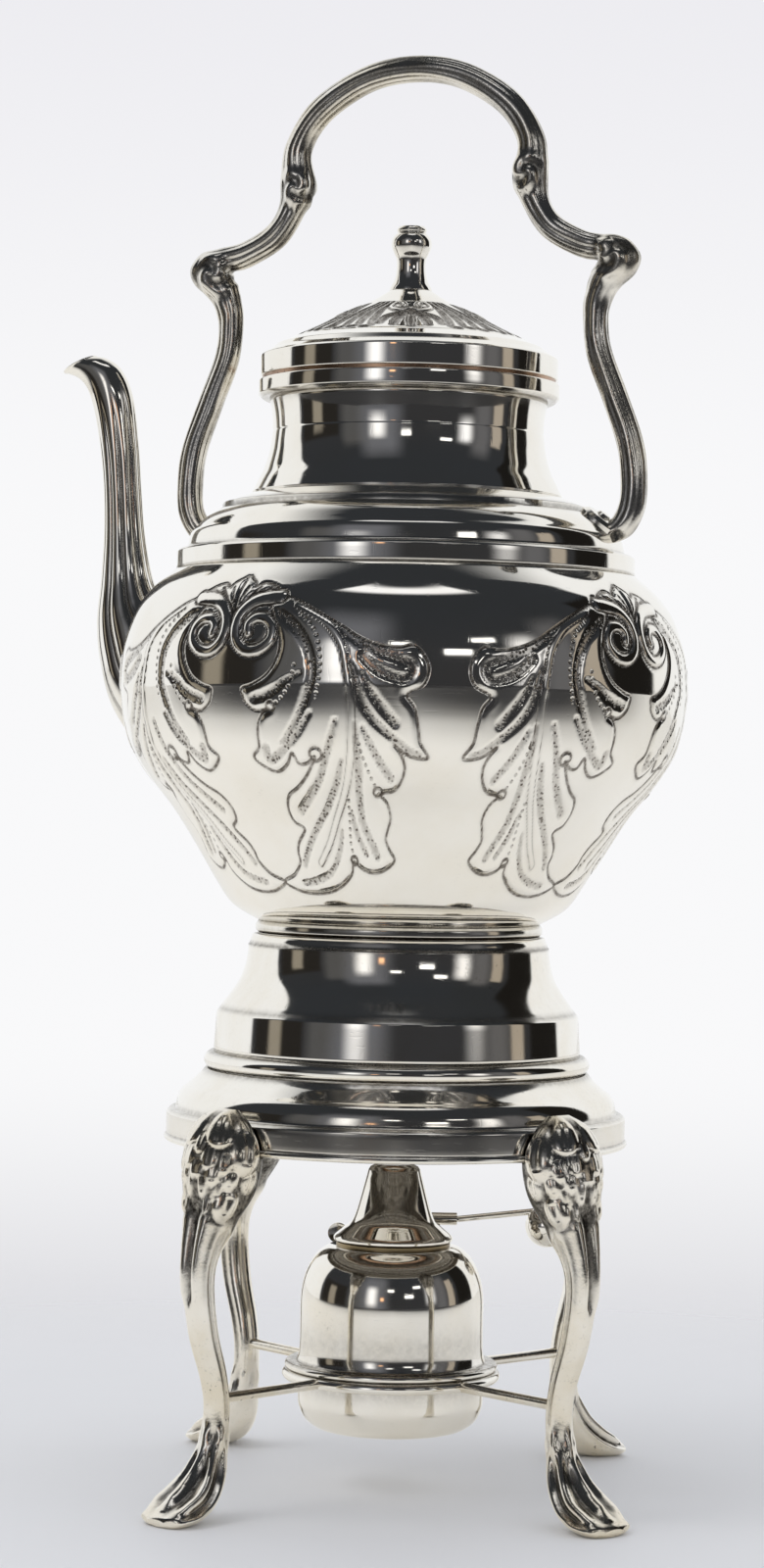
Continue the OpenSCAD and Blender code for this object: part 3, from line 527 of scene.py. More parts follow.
def turnedPiece(name, corners, body, material, nodes, segments=192, step=1.6, soil=None, lining=None):
    outline = filled(rounded(corners), step)
    piece = finishPiece(name, spinOutline(outline, segments), material, body, nodes)
    if soil:
        points = readPoints(piece.data)
        values = np.zeros(len(points))
        for z, reach, amount in soil:
            values = np.maximum(values, amount * np.exp(-((points[:, 2] - z) / reach) ** 2))
        if lining:
            # the inside of the wall is darkened
            outside = np.array(lining)
            depth = np.interp(points[:, 2], outside[:, 1], outside[:, 0]) - np.hypot(points[:, 0], points[:, 1])
            values = np.where(depth > 0.5, 0.85, values)
        setAttribute(piece.data, "soil", values)
    return piece


def closeTube(mesh):
    bm = bmesh.new()
    bm.from_mesh(mesh)
    bmesh.ops.remove_doubles(bm, verts=bm.verts, dist=2e-6)
    bmesh.ops.holes_fill(bm, edges=[e for e in bm.edges if e.is_boundary], sides=0)
    bmesh.ops.recalc_face_normals(bm, faces=bm.faces)
    bm.to_mesh(mesh)
    bm.free()


def sweptPiece(name, rings, around, place, body, material, nodes):
    # A tube of rings x around; place(u, v) gives points and attributes for shares u along, v around
    bm = bmesh.new()
    bmesh.ops.create_grid(bm, x_segments=rings, y_segments=around, size=1.0)
    piece = finishPiece(name, bm, material, body, nodes)
    shares = readPoints(piece.data) * mm / 2 + 0.5
    points, attributes = place(shares[:, 0], shares[:, 1])
    writePoints(piece.data, points)
    for key, values in attributes.items():
        setAttribute(piece.data, key, values)
    closeTube(piece.data)
    return piece


def faceOutwards(mesh):
    # An open shell's faces may all look inwards after they are made consistent
    centre, normal = (np.zeros(len(mesh.polygons) * 3, np.float32) for _ in range(2))
    mesh.polygons.foreach_get("center", centre)
    mesh.polygons.foreach_get("normal", normal)
    centre, normal = centre.reshape(-1, 3), normal.reshape(-1, 3)
    out = np.hypot(centre[:, 0], centre[:, 1])
    widest = out > out.max() - mm
    if (centre[widest, :2] * normal[widest, :2]).sum() < 0:
        mesh.flip_normals()


# Stand

standValues = {
    "wall": 1.2,
    "flange": {"radius": 64, "low": 96.3, "dome": 105, "top": 116.3, "wireRadius": 53.8},
    "wire": {"radius": 53.8, "height": 4.7, "inner": 50},
    "collar": {"radius": 51.2, "low": 121, "throat": 132.8, "lip": 150.9, "top": 153.8, "throatRadius": 42},
}


def buildFlange():
    radius, low, rim, top, wireRadius = standValues["flange"].values()
    dome = smoothLine(fitted((radius - 2.6, rim + 0.6), (wireRadius - 0.4, top),
                             [(0, 0), (0.06, 0.24), (0.23, 0.46), (0.47, 0.6), (0.79, 0.82), (1, 1)]), 5)
    outer = [(radius - 0.1, low + 1.9), (radius, low + 2.4), (radius, rim - 0.9), (radius - 0.9, rim),
             (radius - 2.4, rim + 0.05)] + dome[1:]
    corners = sharp(arcLine(radius - 0.3, low + 0.9, 0.9, -200, 60, 20)) + eased(outer, 0.5, (1, 2, 3))
    corners += sharp(insetLine(outer, standValues["wall"]))
    turnedPiece("flange", corners, "stand", silverPlate, ["stand_flange"],
                soil=[(rim + 0.3, 0.8, 0.5), (top, 1.0, 0.6), (low + 1.9, 0.4, 0.6)], lining=outer)


def buildWire():
    radius, height, inner = standValues["wire"].values()
    half, low = height / 2, standValues["flange"]["top"]
    corners = sharp([(inner, low)] + arcLine(radius - half, low + half, half, -90, 90, 12) + [(inner, low + height)])
    turnedPiece("collarWire", corners, "stand", silverPlate, ["collar_wire"],
                soil=[(low, 0.5, 0.7), (low + height, 0.5, 0.7)])


def buildCollar():
    radius, low, rim, lip, top, narrow = standValues["collar"].values()
    throat = smoothLine(fitted((radius - 2.2, rim + 1.2), (narrow, lip),
                               [(0, 0), (0.48, 0.28), (0.75, 0.48), (0.9, 0.68), (0.97, 0.86), (1, 1)]), 5)
    outer = [(radius, low), (radius - 0.7, rim - 0.8), (radius - 1.6, rim + 0.3)] + throat
    outer += [(narrow - 0.3, lip + 0.2), (narrow - 0.6, lip + 1.4), (narrow - 1.2, top)]
    turnedPiece("collar", eased(outer, 0.6, (1,)) + sharp(insetLine(outer, standValues["wall"])), "stand", silverPlate,
                ["stand_collar"], soil=[(rim + 0.4, 0.7, 0.5), (lip + 0.1, 0.45, 0.8)], lining=outer)


buildFlange()
buildWire()
buildCollar()
print("stand turned")


# Legs

legValues = {
    "flange": 64, "toe": 24.5, "knee": 66, "bend": 9, "height": 108.5, "kneeWidth": 22.8,
    "azimuths": {"front_left": 226.5, "front_right": 311.5, "rear_right": 42, "rear_left": 128.5},
    "rings": 360, "around": 120,
}
toeShares = [  # shares of the toe's reach and the height, half thickness and half width as shares of the knee's width
    (1, 0.012, 0.044, 0.132), (0.92, 0.0175, 0.114, 0.31), (0.73, 0.0304, 0.175, 0.358), (0.49, 0.0553, 0.219, 0.343),
    (0.28, 0.106, 0.215, 0.25),
]
shaftShares = [  # the same with shares of the bend
    (0.278, 0.185, 0.16, 0.185), (0.167, 0.27, 0.15, 0.162), (0.333, 0.35, 0.156, 0.165), (0.778, 0.46, 0.172, 0.176),
    (1, 0.58, 0.189, 0.184), (0.889, 0.66, 0.219, 0.228), (0.5, 0.742, 0.325, 0.342), (0.167, 0.825, 0.447, 0.478),
    (0, 0.905, 0.439, 0.5), (-0.056, 0.968, 0.316, 0.368), (-0.111, 1, 0.088, 0.158),
]
kneeScales = [  # height, angle from the leg's outer side, half height, half angle, rise; each on both sides
    (103.4, 30, 5.6, 25, 1.9), (98.6, 76, 7.8, 28, 2.0), (100.2, 0, 4.4, 12, 1.2), (95.6, 20, 4.6, 14, 1.3),
    (94.4, 44, 4.4, 13, 1.4), (92.2, 4, 4.2, 10, 1.1), (90.6, 30, 4.4, 13, 1.3), (89.8, 58, 4.0, 14, 1.4),
    (90.4, 92, 3.8, 17, 1.3), (87.2, 15, 4.2, 11, 1.1), (86.2, 41, 4.0, 12, 1.2), (82.6, 27, 3.8, 9, 0.9),
    (82.6, 65, 4.2, 27, 2.3),
]


legZones = {  # heights between which a form fades in, and fades out
    "knee": (77, 81, 106, 108.5), "groove": (56, 62, 79, 84), "shaft": (22, 30, 72, 80),
}
legRise = {  # millimetres of cast relief
    "leafBase": 0.7, "leafRib": 0.25, "grooveLip": 0.7, "groove": 1.5, "shaft": 0.35, "footRib": 0.95, "ankle": 0.5,
    "rim": 0.6,
}
footValues = {"ribs": 7.2, "ankleRibs": 5, "ankle": 21.5, "flangeCut": (95.3, 96.2), "flangeGap": 0.66}


def bell(x, width):
    return np.exp(-(x / width) ** 2)


def step01(x, low, high):
    t = np.clip((x - low) / (high - low), 0, 1)
    return t * t * (3 - 2 * t)


def roundTop(distance, half):
    return np.sqrt(np.clip(1 - (distance / half) ** 2, 0, 1))


def legLine():
    v = legValues
    stations = []
    for shares, start, reach in ((toeShares, v["flange"], v["toe"]), (shaftShares, v["knee"], v["bend"])):
        stations += [(start + reach * out, v["height"] * up, v["kneeWidth"] * a, v["kneeWidth"] * b)
                     for out, up, a, b in shares]
    return np.array(smoothLine(stations, 12))


def inZone(z, name):
    low, full, hold, high = legZones[name]
    return step01(z, low, full) * step01(z, high, hold)


def placeLeg(azimuth):
    line = legLine()
    marks = np.arange(len(line))

    def place(u, v):
        at = u * (len(line) - 1)
        s = np.stack([np.interp(at, marks, line[:, k]) for k in range(4)], axis=1)
        d = np.stack([np.interp(at + 1, marks, line[:, k]) - np.interp(at - 1, marks, line[:, k]) for k in range(2)],
                     axis=1)
        d /= np.linalg.norm(d, axis=1)[:, None]
        angle = v * math.tau
        c, w = np.cos(angle), np.sin(angle)
        degrees = (np.degrees(angle) + 180) % 360 - 180
        z, off = s[:, 1], np.abs(degrees)
        rise = np.zeros(len(u))
        for height, centre, tall, wide, up in kneeScales:
            dz, da = (z - height) / tall, (off - centre) / wide
            scale = up * np.sqrt(np.clip(1 - dz ** 2 - da ** 2, 0, 1)) * (0.68 - 0.32 * dz)
            rise = np.maximum(rise, scale - legRise["leafRib"] * up * bell(da, 0.16) * (np.abs(dz) < 0.55))
        knee = inZone(z, "knee")
        soil = knee * np.clip(1 - rise / 0.55, 0, 1) * 0.95
        rise = (rise - legRise["leafBase"]) * knee
        # the shaft's groove, its flanks and its two edges
        groove = inZone(z, "groove")
        rise += groove * (legRise["grooveLip"] * bell(off - 33, 15) - legRise["groove"] * bell(degrees, 14))
        soil += groove * (0.95 * bell(degrees, 13) + 0.3 * bell(off - 66, 8))
        shaft = inZone(z, "shaft") * legRise["shaft"]
        rise += shaft * (bell(off - 72, 9) - bell(off - 95, 14) + 0.5 * bell(off - 22, 12) * (1 - groove))
        soil += shaft * bell(off - 92, 12)
        # the foot's ribs, which fan out from the ankle to a rolled rim
        foot = step01(z, 21, 12) * step01(u, 0.0, 0.04)
        top = step01(z, 1.2, 3.6)
        fan = np.cos(np.radians(degrees) * footValues["ribs"]) * step01(off, 108, 92)
        rise += foot * legRise["footRib"] * fan * top
        soil += foot * top * 0.9 * np.clip(-fan, 0, 1) ** 1.5
        ankle, folds = bell(z - footValues["ankle"], 2.4), np.cos(np.radians(degrees) * footValues["ankleRibs"])
        rise += legRise["ankle"] * ankle * folds
        soil += 0.4 * ankle * np.clip(-folds, 0, 1)
        outward = s[:, 0] + d[:, 1] * (s[:, 2] + rise) * c
        side = (s[:, 3] + rise) * w
        height = np.maximum(s[:, 1] - d[:, 0] * (s[:, 2] + rise) * c, 0)
        rim = step01(height, 4.0, 2.4) * step01(outward, 76, 80)
        outward += legRise["rim"] * rim * step01(outward, 82, 87)
        side *= 1 + 0.07 * rim
        turn = math.radians(azimuth)
        x = outward * math.cos(turn) - side * math.sin(turn)
        y = outward * math.sin(turn) + side * math.cos(turn)
        # the knee is cut to the flange
        r = np.hypot(x, y)
        least = (legValues["flange"] + footValues["flangeGap"]) * step01(height, *footValues["flangeCut"])
        push = np.maximum(r, least) / np.maximum(r, 1e-6)
        return np.stack([x * push, y * push, height], axis=1), {"soil": np.clip(soil, 0, 1)}
    return place


for side, azimuth in legValues["azimuths"].items():
    sweptPiece("leg_" + side + "_cast", legValues["rings"], legValues["around"], placeLeg(azimuth), "stand", castSilver,
               ["leg_" + side])
print("legs ready")


# Kettle

kettleValues = {
    "turn": 20, "wall": 1.2, "footRadius": 39.2, "seat": 145.8, "bowlLow": 157.6, "belly": 221.8, "shoulder": 254.6,
    "bellyRadius": 79, "crown": 64.5, "shoulderRadius": 64, "shoulderDome": 260.3, "neckFoot": 51.5, "neckLow": 273.3,
    "neckRadius": 37.9, "mouthLow": 303.1, "mouthRadius": 42.1, "mouthTop": 308.0, "around": 840, "cell": 0.6,
}


def bowlOutline():
    v = kettleValues
    lower = smoothLine(fitted((v["footRadius"] + 0.1, v["bowlLow"]), (v["bellyRadius"], v["belly"]),
                              [(0, 0), (0.185, 0.069), (0.304, 0.171), (0.451, 0.324), (0.613, 0.478), (0.79, 0.617),
                               (0.906, 0.734), (0.965, 0.85), (1, 1)]), 12)
    upper = smoothLine(fitted((v["bellyRadius"], v["belly"]), (v["crown"], v["shoulder"]),
                              [(0, 0), (0.05, 0.33), (0.27, 0.64), (0.58, 0.835), (1, 1)]), 12)
    return lower + upper[1:]


chaseValues = {"first": -36.6, "apart": 90, "radius": 79}
sprayEdge = [
    (13.1, 244.7), (18.8, 243.9), (25.3, 241.0), (32.6, 237.2), (38.2, 233.9), (43.4, 232.0), (48.6, 231.3),
    (52.9, 231.9), (55.8, 228.7), (56.6, 225.4), (55.1, 221.6), (50.9, 219.2), (53.0, 216.0), (54.1, 211.4),
    (54.8, 206.9), (57.2, 202.9), (52.6, 203.1), (49.0, 205.3), (47.9, 206.1), (49.6, 203.8), (50.8, 200.5),
    (50.0, 196.9), (47.7, 194.1), (43.6, 193.2), (45.5, 190.9), (46.6, 187.1), (45.5, 183.7), (44.8, 181.1),
    (46.1, 178.5), (47.9, 175.6), (43.7, 172.9), (39.1, 172.3), (35.3, 173.3), (32.2, 175.1), (31.2, 172.0),
    (27.2, 169.0), (21.4, 167.0), (13.8, 166.3), (6.0, 167.0), (0.0, 169.3), (6.3, 171.5), (10.2, 174.7),
    (10.5, 177.3), (12.0, 180.0), (15.8, 183.6), (12.6, 185.7), (11.9, 189.1), (14.0, 192.5), (18.2, 194.8),
    (22.2, 198.2), (25.6, 202.9), (22.9, 201.0), (20.2, 201.0), (18.8, 203.7), (16.7, 200.7), (13.4, 198.8),
    (10.0, 199.5), (6.4, 202.3), (8.9, 205.1), (9.2, 208.2), (9.7, 211.3), (11.2, 213.8), (13.4, 215.2), (9.5, 214.6),
    (6.5, 216.3), (5.4, 218.4), (5.2, 220.4), (8.3, 221.4), (12.2, 223.5), (14.9, 226.6), (16.2, 229.9), (16.3, 232.5),
    (15.4, 235.1), (14.0, 238.0), (12.5, 241.0), (11.0, 243.0),
]
crestEdge = [
    (0.0, 249.9), (2.2, 249.6), (4.2, 248.4), (4.6, 247.4), (6.8, 248.4), (9.5, 248.2), (12.5, 247.0), (14.9, 244.9),
    (13.0, 244.6), (9.0, 244.5), (5.0, 243.9), (2.0, 242.6), (0.0, 240.8),
]
scroll = [
    (14.5, 244.6), (7.1, 243.7), (2.9, 240.6), (1.7, 236.4), (2.9, 232.5), (6.3, 230.2), (10.3, 230.7), (13.3, 233.2),
    (13.4, 236.4), (11.1, 238.7), (8.0, 239.0), (5.8, 237.2), (6.2, 235.0),
]
veins = [  # stippled troughs: half width at the start and the end, then the points
    (1.5, 0.8, [(11.1, 241.0), (15.4, 239.7), (20.3, 236.4), (23.6, 232.5), (25.2, 228.7), (25.7, 223.6), (24.1, 218.5),
                (21.9, 213.4), (19.3, 209.6), (16.8, 206.5)]),
    (1.1, 1.0, [(35.0, 228.3), (37.3, 223.8), (39.4, 217.5), (42.5, 212.5), (47.2, 208.3), (51.7, 204.8),
                (54.5, 203.6)]),
    (0.9, 1.2, [(39.4, 224.3), (41.4, 220.3), (43.7, 217.0), (46.3, 213.8), (47.9, 211.8)]),
    (1.2, 1.5, [(33.7, 235.4), (38.3, 232.6), (43.5, 230.2), (48.9, 228.5), (52.4, 226.5), (51.0, 223.4), (46.9, 224.0),
                (42.8, 226.0), (39.7, 229.0)]),
    (1.0, 1.2, [(37.2, 211.9), (37.7, 201.0), (37.0, 190.8), (37.4, 185.6), (39.4, 181.0), (41.6, 176.9)]),
    (0.9, 1.1, [(39.3, 210.9), (41.8, 205.4), (44.2, 201.1), (46.9, 197.5)]),
    (0.9, 1.1, [(31.9, 212.5), (29.3, 204.4), (25.8, 197.2), (21.2, 192.3), (16.7, 188.6)]),
    (1.0, 1.0, [(33.0, 202.0), (30.6, 195.8), (26.0, 189.3), (20.8, 184.0), (15.8, 178.7), (12.4, 174.4)]),
    (0.9, 0.9, [(29.8, 183.5), (27.6, 177.8), (23.4, 172.7), (17.4, 170.3), (9.8, 169.2)]),
    (0.9, 1.2, [(25.0, 214.4), (21.2, 208.9), (16.5, 204.5), (12.0, 202.0), (11.2, 205.0)]),
    (0.9, 1.2, [(22.5, 224.4), (18.5, 222.5), (13.5, 219.2), (9.0, 217.8)]),
    (0.9, 0.9, [(33.9, 188.5), (35.0, 182.5), (37.6, 177.3)]),
]
midrib = (1.4, 1.3, [
    (20.0, 242.4), (27.9, 238.5), (31.5, 235.1), (33.9, 231.3), (35.1, 226.3), (36.0, 221.2), (36.5, 216.2),
    (36.4, 209.8), (35.8, 203.5), (34.2, 197.1), (31.9, 192.0), (28.7, 186.8), (24.5, 180.2), (19.5, 174.9),
])
beads = [
    [(20.6, 240.2), (24.5, 237.2), (26.8, 233.8), (27.9, 228.7), (27.8, 223.6), (26.8, 218.0)],
    [(37.9, 207.3), (39.4, 202.3), (41.0, 198.0), (42.3, 195.2)],
    [(33.7, 192.5), (32.9, 185.6), (32.3, 180.3), (32.8, 176.9)],
    [(21.0, 227.5), (19.6, 221.5), (16.6, 217.5), (14.6, 216.4)],
]
crestPetals = [
    [(0.0, 241.5), (0.0, 248.6)], [(1.0, 243.0), (2.8, 247.2)], [(3.6, 244.4), (7.0, 247.2)],
    [(6.0, 244.8), (10.6, 246.9)],
]


def insideOf(points, u, z):
    # Even-odd test of many points against a closed line
    inside = np.zeros(u.shape, bool)
    p = np.array(points)
    for (x0, y0), (x1, y1) in zip(p, np.roll(p, -1, axis=0)):
        if y0 == y1:
            continue
        crosses = ((y0 > z) != (y1 > z)) & (u < (x1 - x0) * (z - y0) / (y1 - y0) + x0)
        inside ^= crosses
    return inside


def lineField(points, u, z, reach=6.0):
    # The distance from a line and the length along it, to a few millimetres away
    best = np.full(u.shape, reach)
    along = np.zeros(u.shape)
    length = 0.0
    for (x0, y0), (x1, y1) in zip(points[:-1], points[1:]):
        step = math.hypot(x1 - x0, y1 - y0)
        if step < 1e-9:
            continue
        near = (u > min(x0, x1) - reach) & (u < max(x0, x1) + reach)
        near &= (z > min(y0, y1) - reach) & (z < max(y0, y1) + reach)
        if near.any():
            du, dz = u[near] - x0, z[near] - y0
            t = np.clip((du * (x1 - x0) + dz * (y1 - y0)) / step ** 2, 0, 1)
            d = np.hypot(du - t * (x1 - x0), dz - t * (y1 - y0))
            old, oldAlong = best[near], along[near]
            closer = d < old
            old[closer] = d[closer]
            oldAlong[closer] = (length + t * step)[closer]
            best[near], along[near] = old, oldAlong
        length += step
    return best, along, length


def closedLine(points, steps):
    return smoothLine([points[-1]] + list(points) + [points[0], points[1]], steps)[steps:-steps]


reliefValues = {"cell": 0.2, "uLow": -3.0, "uHigh": 64.0, "zLow": 160.0, "zHigh": 254.0}
reliefHeights = {"leaf": 0.36, "lip": 0.14, "ridge": 0.25, "trough": 0.42, "cut": 0.2, "crest": 0.4, "scroll": 0.5,
                 "boss": 0.25}
bosses = [(25.9, 203.6, 1.6), (42.9, 193.9, 1.1), (32.9, 175.6, 1.1), (13.9, 215.9, 1.1)]
chaseReach = {"chase": 3.0, "beadAcross": 3.0}  # millimetres that stand for no line nearby


def drawRelief():
    r, rise = reliefValues, reliefHeights
    u, z = np.meshgrid(np.arange(r["uLow"], r["uHigh"], r["cell"]), np.arange(r["zLow"], r["zHigh"], r["cell"]))
    mirrored = np.abs(u)

    def insetOf(edge, across):
        # Millimetres inside a closed line, less than 0 outside
        line = closedLine(edge, 5)
        d, _, _ = lineField(line, across, z)
        return np.where(insideOf(line, across, z), d, -d)

    leaf = insetOf(sprayEdge, u)
    trough, stipple = np.zeros(u.shape), np.zeros(u.shape)
    for half0, half1, points in veins:
        d, along, length = lineField(smoothLine(points, 6), u, z)
        half = (half0 + (half1 - half0) * along / length) * (0.6 + 0.4 * np.minimum(1, along / 5))
        trough = np.maximum(trough, roundTop(d, half * 1.1))
        stipple = np.maximum(stipple, step01(half - d, -0.1, 0.4))
    half0, half1, points = midrib
    d, along, length = lineField(smoothLine(points, 6), u, z)
    half = 0.75 * (half0 + (half1 - half0) * along / length)
    ridge = roundTop(d, half)
    stipple *= step01(d, half * 0.9, half * 1.4)
    height = rise["leaf"] * step01(leaf, -0.2, 2.6) + rise["lip"] * bell(leaf - 1.3, 0.9)
    height += np.where(ridge > 0, rise["ridge"] * ridge, -rise["trough"] * trough) * step01(leaf, 0.1, 1.2)
    chase = np.minimum(np.abs(leaf), np.where(leaf > 0, np.abs(d - half) + 0.25, 6.0))
    height -= rise["cut"] * bell(leaf, 0.5)
    # the crest over the scrolls
    shell = insetOf(crestEdge, mirrored)
    height = np.maximum(height, rise["crest"] * step01(shell, 0.1, 1.3))
    height -= rise["cut"] * bell(shell, 0.5)
    chase = np.minimum(chase, np.abs(shell))
    for points in crestPetals:
        d, _, _ = lineField(points, mirrored, z)
        height -= rise["cut"] * bell(d, 0.45) * (shell > 0)
        chase = np.minimum(chase, np.where(shell > 0, d, 6.0))
    # the scroll that each spray starts from
    d, along, length = lineField(smoothLine(scroll, 6), mirrored, z)
    half = 1.75 - 0.5 * along / length
    near = d < half * 1.1
    height = np.where(near, np.maximum(height * 0.2, 0.0) + rise["scroll"] * roundTop(d, half), height)
    chase = np.where(near, 6.0, chase)
    stipple = np.where(d < half * 1.5, 0, stipple)
    chase = np.minimum(chase, np.abs(d - half * 1.12))
    height -= 0.15 * bell(d - half * 1.15, 0.45)
    beadAcross, beadAlong = np.full(u.shape, chaseReach["beadAcross"]), np.zeros(u.shape)
    for points in beads:
        d, along, _ = lineField(smoothLine(points, 6), u, z, chaseReach["beadAcross"])
        nearer = d < beadAcross
        beadAcross[nearer] = d[nearer]
        beadAlong[nearer] = along[nearer]
    for cu, cz, size in bosses:
        d = np.hypot(u - cu, z - cz)
        height += rise["boss"] * roundTop(d, size)
        chase = np.minimum(chase, np.abs(d - size * 1.1))
    chase = np.minimum(chase, chaseReach["chase"])
    # darker in the troughs and along the chased lines: dirt, and painted shade in the cuts
    soil = 0.5 * trough * step01(leaf, 0.2, 1.0) + 0.3 * bell(chase, 0.7)
    return {"height": height, "chase": chase, "stipple": stipple, "beadAcross": beadAcross, "beadAlong": beadAlong,
            "soil": soil}


def readGrid(grid, u, z, area):
    gu = np.clip((u - area["uLow"]) / area["cell"], 0, grid.shape[1] - 1.001)
    gz = np.clip((z - area["zLow"]) / area["cell"], 0, grid.shape[0] - 1.001)
    i, j = gz.astype(int), gu.astype(int)
    a, b = gz - i, gu - j
    low = grid[i, j] * (1 - a) * (1 - b) + grid[i, j + 1] * (1 - a) * b
    return low + grid[i + 1, j] * a * (1 - b) + grid[i + 1, j + 1] * a * b


def motifPlace(points, first, apart, radius):
    # Millimetres from the nearest motif's middle line
    azimuth = np.degrees(np.arctan2(points[:, 0], -points[:, 1]))
    local = (azimuth - first + apart / 2) % apart - apart / 2
    return np.abs(np.radians(local)) * radius


def chaseBowl(mesh, outer, relief):
    points = readPoints(mesh)
    tangent = np.gradient(outer, axis=0)
    tangent /= np.linalg.norm(tangent, axis=1)[:, None]
    outside = np.interp(points[:, 2], outer[:, 1], outer[:, 0]) - np.hypot(points[:, 0], points[:, 1]) < 0.05
    outside &= points[:, 2] > kettleValues["bowlLow"] + 0.5
    u, z = motifPlace(points, **chaseValues), points[:, 2].copy()
    rise = np.where(outside, readGrid(relief["height"], u, z, reliefValues), 0)
    rise *= step01(z, 159, 163) * step01(z, 254, 252)
    nr = np.interp(z, outer[:, 1], tangent[:, 1])
    r = np.maximum(np.hypot(points[:, 0], points[:, 1]), 1e-6)
    for k in (0, 1):
        points[:, k] += rise * nr * points[:, k] / r
    points[:, 2] += rise * np.interp(z, outer[:, 1], -tangent[:, 0])
    writePoints(mesh, points)
    for key in ("chase", "stipple", "beadAcross", "beadAlong", "soil"):
        setAttribute(mesh, key, np.where(outside, readGrid(relief[key], u, z, reliefValues), chaseReach.get(key, 0.0)))


def shareNormals(pieces):
    # Halves that meet at y = 0 get the same normals along their seam
    shared, found = {}, []
    for piece in pieces:
        n = np.zeros(len(piece.data.vertices) * 3, np.float32)
        piece.data.vertices.foreach_get("normal", n)
        n = n.reshape(-1, 3).astype(float)
        p = readPoints(piece.data)
        rim = [(i, (round(p[i, 0] * 20), round(p[i, 2] * 20))) for i in np.nonzero(np.abs(p[:, 1]) < 0.02)[0]]
        for i, key in rim:
            shared[key] = shared.get(key, np.zeros(3)) + n[i]
        found.append((n, rim))
    for piece, (n, rim) in zip(pieces, found):
        for i, key in rim:
            n[i] = shared[key] / max(np.linalg.norm(shared[key]), 1e-9)
        piece.data.normals_split_custom_set_from_vertices(n.tolist())


def buildBowl():
    v = kettleValues
    outer = evenLine(bowlOutline(), v["cell"])
    bottom = v["bowlLow"] + v["wall"]
    outline = [tuple(p) for p in outer] + insetLine(evenLine(bowlOutline(), 5.0), v["wall"])[:-1]
    outline += [(v["footRadius"] - 1.2, bottom), (0.0, bottom), (0.0, v["bowlLow"]),
                (v["footRadius"] - 4, v["bowlLow"])]
    relief = drawRelief()
    halves = []
    for label, start in (("front", 180), ("rear", 0)):
        bm = spinOutline(outline, v["around"] // 2, math.radians(start), math.pi)
        piece = finishPiece("bowl_" + label, bm, chasedPlate, "kettle", ["kettle_bowl"])
        faceOutwards(piece.data)
        chaseBowl(piece.data, outer, relief)
        halves.append(piece)
    shareNormals(halves)
    print("bowl", [len(p.data.polygons) for p in halves])


def buildShoulder():
    v = kettleValues
    radius, low, rim, foot, top = (v[k] for k in ("shoulderRadius", "shoulder", "shoulderDome", "neckFoot", "neckLow"))
    dome = smoothLine(fitted((radius - 2.9, rim + 0.6), (foot + 0.9, top - 1.7),
                             [(0, 0), (0.1, 0.35), (0.27, 0.52), (0.5, 0.72), (0.74, 0.87), (1, 1)]), 5)
    outer = [(radius, low), (radius, rim - 0.7), (radius - 0.7, rim), (radius - 2.2, rim + 0.05)] + dome
    outer += [(foot, top - 1.5), (foot, top)]
    turnedPiece("shoulder", eased(outer, 0.4, (1, 2)) + sharp(insetLine(outer, v["wall"])), "kettle", cleanPlate,
                ["kettle_shoulder"],
                soil=[(low, 0.5, 0.7), (rim + 0.4, 0.5, 0.5), (top - 1.6, 0.5, 0.5)])


def buildNeck():
    v = kettleValues
    r, foot, low, top = (v[k] for k in ("neckRadius", "neckFoot", "neckLow", "mouthLow"))
    curve = smoothLine(fitted((r + 5.7, low + 2.98), (r, low + 20.86),
                              [(0, 0), (0.33, 0.22), (0.62, 0.42), (0.87, 0.7), (1, 1)]), 6)
    outer = [(foot - 0.3, low)] + smoothLine([(foot - 1.2, low + 0.3)] + curve + [(r + 0.2, low + 25), (r + 1, top)], 3)
    turnedPiece("neck", sharp(outer + insetLine(outer, v["wall"])), "kettle", cleanPlate,
                ["kettle_neck"],
                soil=[(low + 0.2, 0.5, 0.6), (top, 1.6, 0.35)])


def buildMouth():
    v = kettleValues
    r, low, top = (v[k] for k in ("mouthRadius", "mouthLow", "mouthTop"))
    foot, bore = v["neckRadius"] + 1 - v["wall"], v["neckRadius"] - 1
    corners = [(foot, low, 0), (r - 1.2, low, 0.2), (r, low + 1, 0.5), (r, top, 0.45), (bore, top, 0.1),
               (bore, low + 1, 0), (foot, low + 0.2, 0)]
    turnedPiece("mouthBand", corners, "kettle", cleanPlate, ["mouth_rim"], soil=[(low, 0.6, 0.5)])


def buildFoot():
    r, low, top = (kettleValues[k] for k in ("footRadius", "seat", "bowlLow"))
    corners = [(r, low, 0.4), (r, top - 3.4, 0.3), (r + 0.9, top - 2.6, 0.4), (r + 0.9, top - 1.2, 0.4),
               (r + 0.1, top, 0), (r - 1.7, top, 0),
               (r - 1.8, low, 0.3)]
    turnedPiece("kettleFoot", corners, "kettle", silverPlate, ["kettle_foot"],
                soil=[(low + 4, 5, 0.5), (top, 0.4, 0.6)])


buildBowl()
buildShoulder()
buildNeck()
buildMouth()
buildFoot()
print("kettle turned")


